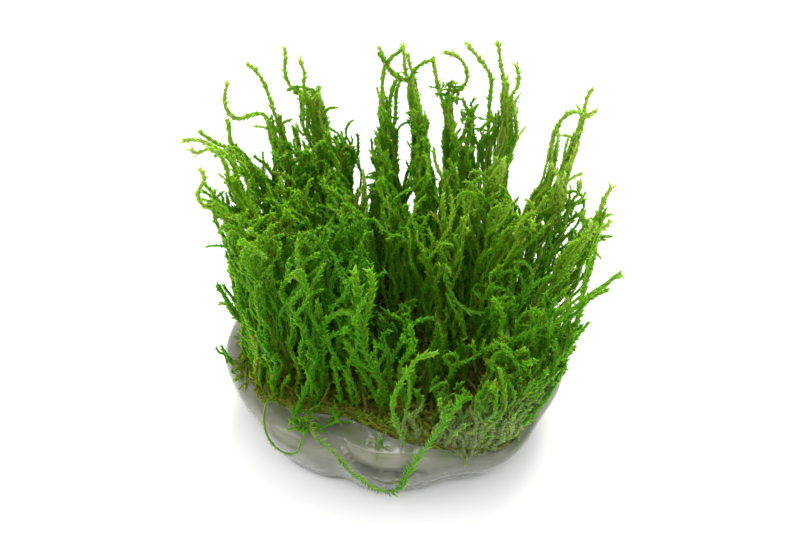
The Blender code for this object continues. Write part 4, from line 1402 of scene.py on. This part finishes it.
# %% All strands of one tuft
def bundle_strands(strands, name, chance, foot, bearing, shoot):
    """The strands of the bundle around one thick shoot. The first one leads: it is the thick shoot."""
    azimuth, distance, _, _ = TUFTS[name]
    curls = shoot[1] is not None
    count = THIN_BUNDLES.get(name, BUNDLE_STRANDS) if curls else OTHER_COUNTS.get(name, STRANDS_PER_SHOOT)
    for s in range(count):
        path = strand_course(name, chance, foot, bearing, shoot, s == 0)
        plump = chance.uniform(*PLUMPNESS)
        path = end_strand(name, chance, path, shoot, s == 0)
        tone = chance.random()
        frost = frost_of(azimuth, distance) * chance.uniform(*FROST_SHARES)
        inner = INNER_FRESH if distance < INNER_DISTANCE else 0.0
        fresh_tip = min(1.0, freshness(path[-1].z) + young(azimuth) + chance.uniform(*FRESHER))
        fresh = CURL_FRESH if curls else min(1.0, young(azimuth) + inner), fresh_tip
        if curls and s == 0:
            low, high = CURL_TONES
            add_strand(strands, path, low + (high - low) * tone, fresh, CURL_SIZE, slim=CURL_SLIM)
        else:
            add_strand(strands, path, tone, fresh, plump, frost)
            add_side_shoots(strands, path, chance, tone, fresh, frost)


def tuft_strands(name):
    """Every strand of a tuft: its bundles, and what stands out from them."""
    azimuth, distance, height, count = TUFTS[name]
    low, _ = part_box(name)
    foot = around(azimuth, distance * MM, low.z - FOOT_SINK)
    chance = random.Random(name + " strands")
    strands = []
    for k, shoot in enumerate(shoot_lines(name, foot, FORK_SHARE * height * MM)):
        bundle_strands(strands, name, chance, foot, azimuth + 360 * (k + 0.5) / count, shoot)
    set_tones(strands, name)
    for placed in PLACED_STRANDS.get(name, ()):
        add_placed(strands, chance, *placed)
    flame_strands = []
    for flame in FLAMES.get(name, ()):
        add_flame(flame_strands, chance, *flame)
    set_tones(flame_strands, name)
    strands.extend(flame_strands)
    for knot in KNOTS.get(name, ()):
        add_knot(strands, chance, *knot)
    if name in RIM_STRANDS:
        add_rim_strands(strands, chance, *RIM_STRANDS[name])
    return strands


# %% Draw strands as lines and dress them
def dress(name, strands, tree):
    """A mesh of lines that carry their values, turned into leafy shoots by the tree."""
    points = []
    edges = []
    values = {"fresh": [], "plump": [], "tone": [], "frost": []}
    for strand in strands:
        first = len(points)
        for point, fresh, plump, frost in strand["rows"]:
            points.append(point)
            values["fresh"].append(fresh)
            values["plump"].append(plump)
            values["tone"].append(strand["tone"])
            values["frost"].append(frost)
        edges.extend((i, i + 1) for i in range(first, len(points) - 1))
    mesh = bpy.data.meshes.new(name)
    mesh.from_pydata(points, edges, [])
    for key, numbers in values.items():
        mesh.attributes.new(key, "FLOAT", "POINT").data.foreach_set("value", numbers)
    outward = [part for point in points for part in (point.x, point.y, 0.0)]
    mesh.attributes.new("facing", "FLOAT_VECTOR", "POINT").data.foreach_set("vector", outward)
    piece = bpy.data.objects.new(name, mesh)
    bpy.context.scene.collection.objects.link(piece)
    select_only(piece)
    piece.modifiers.new("dressing", "NODES").node_group = tree
    bpy.ops.object.modifier_apply(modifier="dressing")
    return piece


def triangles(piece):
    return sum(len(face.vertices) - 2 for face in piece.data.polygons)


total = 0
strand_count = 0
for name in TUFTS:
    strands = tuft_strands(name)
    tuft = dress("leafy_" + name, strands, leafy)
    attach(tuft, "root")
    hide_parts(name)
    total += triangles(tuft)
    strand_count += len(strands)
print("strands:", strand_count, "triangles:", total)

# %% [markdown]
# ## Loose shoots at the front
#
# Three shoots have come loose at the front. The longest hangs down over the wet gel, which holds it flat, so
# its leaves spread to both sides like a feather's, and then it rises again on the right. A second tree of the
# same kind dresses it: this one turns each leaf by half a turn from the last, and keeps the leaves in the
# gel's surface. The other two are dressed as the mass is.

# %% The lines of the loose shoots
LOOSE_CLEARANCE = 1.2 * MM  # from the gel's side to the middle of the shoot
# A point with two numbers is an azimuth and a height in mm on the gel's side, and one with three is a place
LOOSE_SHOOTS = {
    "trailing_shoot": (
        (-17.8, -24.8, 19.5), (-17.2, -28.4, 19.6), (-15.8, -32.4, 18.9), (-108.3, 15.0), (-104.8, 12.4),
        (-101.5, 10.4), (-96.5, 6.9), (-92.2, 4.8), (-87.9, 6.2), (-85.6, 11.6), (4.6, -36.6, 16.5),
        (6.6, -36.6, 20), (9.6, -35.8, 24.5), (12, -34.8, 28), (14, -34.2, 31.2),
    ),
    "looped_shoot": (
        (-24.3, -18.5, 18.9), (-26.5, -22.5, 19.0), (-136.2, 15.4), (-132.2, 12.4), (-127.6, 11.3),
        (-123.0, 13.2), (-121.4, 15.6), (-18, -29.6, 18.2),
    ),
    "front_shoot": (
        (2.1, -33.6, 17.9), (1.5, -34, 21), (0.4, -34.3, 25), (-0.2, -34.3, 29.5), (1.2, -34.3, 34.5),
        (3, -34.2, 38.2), (5, -34, 41.3), (8.8, -34, 42.8),
    ),
}  # fmt: skip


def loose_path(points):
    placed = []
    for point in points:
        if len(point) == 2:
            azimuth, height = point[0], point[1] * MM
            placed.append(around(azimuth, side_radius(azimuth, height) + LOOSE_CLEARANCE, height))
        else:
            placed.append(Vector(point) * MM)
    return smooth_path(placed, STRAND_STEP)


# %% Dress the loose shoots
LOOSE_SPACING = 0.34 * MM
flat_leafy = make_dressing(
    "flat_leafy_shoot", spread_leaf, LOOSE_SPACING, math.pi, WET_LEAF, facing=True, stem_radius=0.2 * MM
)
LOOSE_LOOKS = {
    # name: leaf size, tone, freshness at the foot and at the tip, frost, tree
    "trailing_shoot": (1.1, 0.66, (0.0, 0.6), 0.3, flat_leafy),
    "looped_shoot": (0.7, 0.85, (0.1, 0.3), 0.3, leafy),
    "front_shoot": (1.15, 0.6, (0.3, 0.85), 0.5, leafy),
}
for name, (plump, tone, fresh, frost, tree) in LOOSE_LOOKS.items():
    strands = []
    add_strand(strands, loose_path(LOOSE_SHOOTS[name]), tone, fresh, plump, frost)
    shoot = dress("leafy_" + name, strands, tree)
    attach(shoot, "root")
    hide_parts(name)
    print(name, "triangles:", triangles(shoot))

# %% [markdown]
# ## The felt of old stems
#
# Under the shoots lies what they grew from: a mat of dead brown stems, torn leaves and root hairs, wet and
# dark, with an olive fringe that hangs over the gel. A mat like this could be one bumpy solid, but its crumbs
# and loose ends would be missing. So a lumpy body is raised ring by ring as the gel was and roughened with a
# Displace modifier, and hundreds of short old shoots are scattered over it and joined with it.

# %% Wet felt
FELT_TONES = ((0.3, "#2e2e06"), (0.45, "#50540f"), (0.58, "#70761f"), (0.75, "#a2a550"))
BITS_AGES = ((0.0, "#4a4412"), (0.3, "#606618"), (0.6, "#5a7413"), (1.0, "#628e17"))
BITS_SHADE = "#54560f"
CRUMB_WIDTH = 1.0 * MM
# Painted shade under the shoots: the felt gets darker towards the axis
UNDER_SHOOTS_SHADE = (27 * MM, 33 * MM, 0.36, 1.0)  # two distances from the axis, and how light it is at each


def make_felt_material():
    material, tree = start_material("wet_felt_of_old_stems")
    place = add_node(tree, "ShaderNodeTexCoord").outputs["Object"]
    # Crumbs, from nearly black to pale olive
    crumbs = add_node(
        tree, "ShaderNodeTexNoise", inputs={"Vector": place, "Scale": 1 / CRUMB_WIDTH, "Detail": 5.0}
    ).outputs[0]
    tones = add_node(tree, "ShaderNodeValToRGB", inputs=(crumbs,), stops=FELT_TONES)
    # Inside the clump it is darkened nearly to black: painted shade of the shoots that stand over it
    from_axis = add_node(tree, "ShaderNodeVectorMath", {"operation": "LENGTH"}, (place,)).outputs["Value"]
    painted_shade = add_node(tree, "ShaderNodeMapRange", inputs=(from_axis, *UNDER_SHOOTS_SHADE))
    colour = add_node(
        tree, "ShaderNodeHueSaturation", inputs={"Value": painted_shade.outputs[0], "Color": tones.outputs[0]}
    )
    bump = add_node(tree, "ShaderNodeBump", inputs={"Strength": 0.9, "Distance": 0.5 * MM, "Height": crumbs})
    finish_material(
        tree,
        {
            "Base Color": colour.outputs[0],
            "Normal": bump.outputs[0],
            "Roughness": 0.6,
            "IOR": 1.3,
            "Specular IOR Level": 0.2,
        },
    )
    return material


FELT_BODY = make_felt_material()
OLD_LEAF = make_leaf_material("wet_dead_moss_leaf", BITS_AGES, BITS_SHADE)
print("materials:", FELT_BODY.name, OLD_LEAF.name)

# %% The felt's body
FELT_SIDES = 270
FELT_UNDERSIDE = (0.3, 0.6, 0.8, 1.0)
FELT_TOP_RINGS = 34
FELT_GAP = 0.4 * MM  # between its underside and the gel
CRUMB_SIZE = 1.5 * MM
CRUMB_DEPTH = 1.6 * MM

felt_azimuths = [360 * i / FELT_SIDES for i in range(FELT_SIDES)]
felt_rings = [
    [around(a, ring * felt_radius(a), recess_height(a, ring) + FELT_GAP) for a in felt_azimuths]
    for ring in FELT_UNDERSIDE
]
for k in range(FELT_TOP_RINGS):
    ring = 1 - k / FELT_TOP_RINGS
    felt_rings.append([around(a, ring * felt_radius(a), felt_height(a, ring)) for a in felt_azimuths])
felt = extrude_rings("felt_of_stems", felt_rings)
crumbs = bpy.data.textures.new("crumbs", "CLOUDS")
crumbs.noise_scale = CRUMB_SIZE
crumbs.noise_depth = 3
rough = felt.modifiers.new("rough", "DISPLACE")
rough.texture = crumbs
rough.texture_coords = "LOCAL"
rough.strength = CRUMB_DEPTH
select_only(felt)
bpy.ops.object.modifier_apply(modifier="rough")
bpy.ops.object.shade_smooth()
felt.data.materials.append(FELT_BODY)
print("felt body triangles:", triangles(felt))

# %% How old shoots lie on the felt and over its edge
LYING_BITS = 300
BIT_LIFT = 0.4 * MM
BIT_LENGTH = (2.0, 5.0)  # mm
BIT_TURN = (-40, 120)  # degrees
BIT_PLUMP = 0.85
EDGE_STRANDS = 110
EDGE_LENGTH = (4, 13)  # mm
HANGING_STRANDS = 130
HANGING_REACH = (0.6, 3.2)  # mm
HANGING_MIDDLE = (195, 26)  # azimuth around which half of them hang, and its spread
CUSHIONS = 20
CUSHION_BITS = (4, 9)
CUSHION_SPREAD = 1.3  # half width of a cushion in mm
CUSHION_LENGTH = (0.8, 2.2)  # mm
CUSHION_TURN = (20, 90)  # degrees
SWING = 0.35  # half height in mm of the bends in which a strand lies
LYING_LIFT = (0.2, 0.6)  # mm
DOWN = Vector((0, 0, -1))


def lying_bit(chance):
    """A short shoot that lies on the felt in any direction, with one end lifted a little."""
    azimuth = chance.uniform(0, 360)
    ring = math.sqrt(chance.uniform(0, 0.98))
    start = around(azimuth, ring * felt_radius(azimuth), felt_height(azimuth, ring) + BIT_LIFT)
    heading = any_way(chance) + Vector((0, 0, chance.uniform(0.0, 0.9)))
    path = [start, start + heading * 0.7 * STRAND_STEP, start + heading * 1.4 * STRAND_STEP]
    length = chance.uniform(*BIT_LENGTH) * MM
    hook(path, length, chance.uniform(*BIT_TURN), DOWN + any_way(chance))
    return path


def cushion(chance, azimuth, reach):
    """A small cushion of short shoots on the rim that point all ways from the surface."""
    paths = []
    for _ in range(chance.randint(*CUSHION_BITS)):
        turn = math.degrees(chance.gauss(0, CUSHION_SPREAD) * MM / FELT_RADIUS)
        start, outward = edge_place(azimuth + turn, reach + chance.gauss(0, CUSHION_SPREAD / 2))
        heading = (outward * chance.uniform(0.2, 1.0) + any_way(chance) * 0.9).normalized()
        path = [start, start + heading * 0.5 * STRAND_STEP, start + heading * STRAND_STEP]
        length = chance.uniform(*CUSHION_LENGTH) * MM
        hook(path, length, chance.uniform(*CUSHION_TURN), DOWN + outward * 0.3)
        paths.append(path)
    return paths


def lying_along(chance, azimuth, reach, turn, sink, length):
    """A strand that lies on the rim or the gel's side and runs on by a turn and a sink in mm for each mm."""
    path = []
    for i in range(max(4, round(length))):
        here = azimuth + math.degrees(turn * i * MM / FELT_RADIUS)
        swing = SWING * math.sin(i * 0.9 + 7 * turn)
        place, outward = edge_place(here, reach + sink * i + swing)
        path.append(place + outward * chance.uniform(*LYING_LIFT) * MM)
    return path


# %% The old shoots
chance = random.Random("old stems")
bits = []
# Short ones lie all over the felt
for _ in range(LYING_BITS):
    path = lying_bit(chance)
    tone = chance.random()
    fresh = chance.uniform(0, 0.4), chance.uniform(0.1, 0.8)
    add_strand(bits, path, tone, fresh, BIT_PLUMP)
# Long ones lie along its edge
for _ in range(EDGE_STRANDS):
    turn = chance.choice((-1, 1)) * chance.uniform(0.8, 1.0)
    azimuth = chance.uniform(0, 360)
    reach = chance.uniform(-1.6, 0.5)
    sink = chance.uniform(-0.1, 0.12)
    path = lying_along(chance, azimuth, reach, turn, sink, chance.uniform(*EDGE_LENGTH))
    tone = chance.random()
    fresh = chance.uniform(0.0, 0.5), chance.uniform(0.1, 0.6)
    add_strand(bits, path, tone, fresh, chance.uniform(0.5, 0.75))
# The mat hangs over the rim, mostly at the left and at the back
for _ in range(HANGING_STRANDS):
    azimuth = chance.choice((chance.gauss(*HANGING_MIDDLE), chance.uniform(0, 360)))
    reach = chance.uniform(-1.5, 0.5)
    length = chance.uniform(*HANGING_REACH) - reach
    turn = chance.choice((-1, 1)) * chance.uniform(0.3, 1.0)
    path = lying_along(chance, azimuth, reach, turn, chance.uniform(0.2, 0.6), length * 1.6)
    add_strand(bits, path, chance.random(), (0.3, chance.uniform(0.3, 1.0)), chance.uniform(0.55, 0.85))
# Small cushions sit on the rim
for _ in range(CUSHIONS):
    fresh = chance.uniform(0.2, 1.0)
    for path in cushion(chance, chance.uniform(0, 360), chance.uniform(-1.0, 1.0)):
        add_strand(bits, path, chance.random(), (0.3, fresh), chance.uniform(0.6, 0.9))
print("old shoots:", len(bits))

# %% Dress them and join them with the felt's body
bits_leafy = make_dressing("old_leafy_bits", single_leaf, 0.36 * MM, GOLDEN_ANGLE, OLD_LEAF)
cover = dress("felt_cover", bits, bits_leafy)
select_only(cover)
felt.select_set(True)
bpy.context.view_layer.objects.active = felt
bpy.ops.object.join()
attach(felt, "root")
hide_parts("stem_felt")
print("felt triangles:", triangles(felt))

# %% Put the leaf patterns away
bpy.data.objects.remove(single_leaf)
bpy.data.objects.remove(spread_leaf)
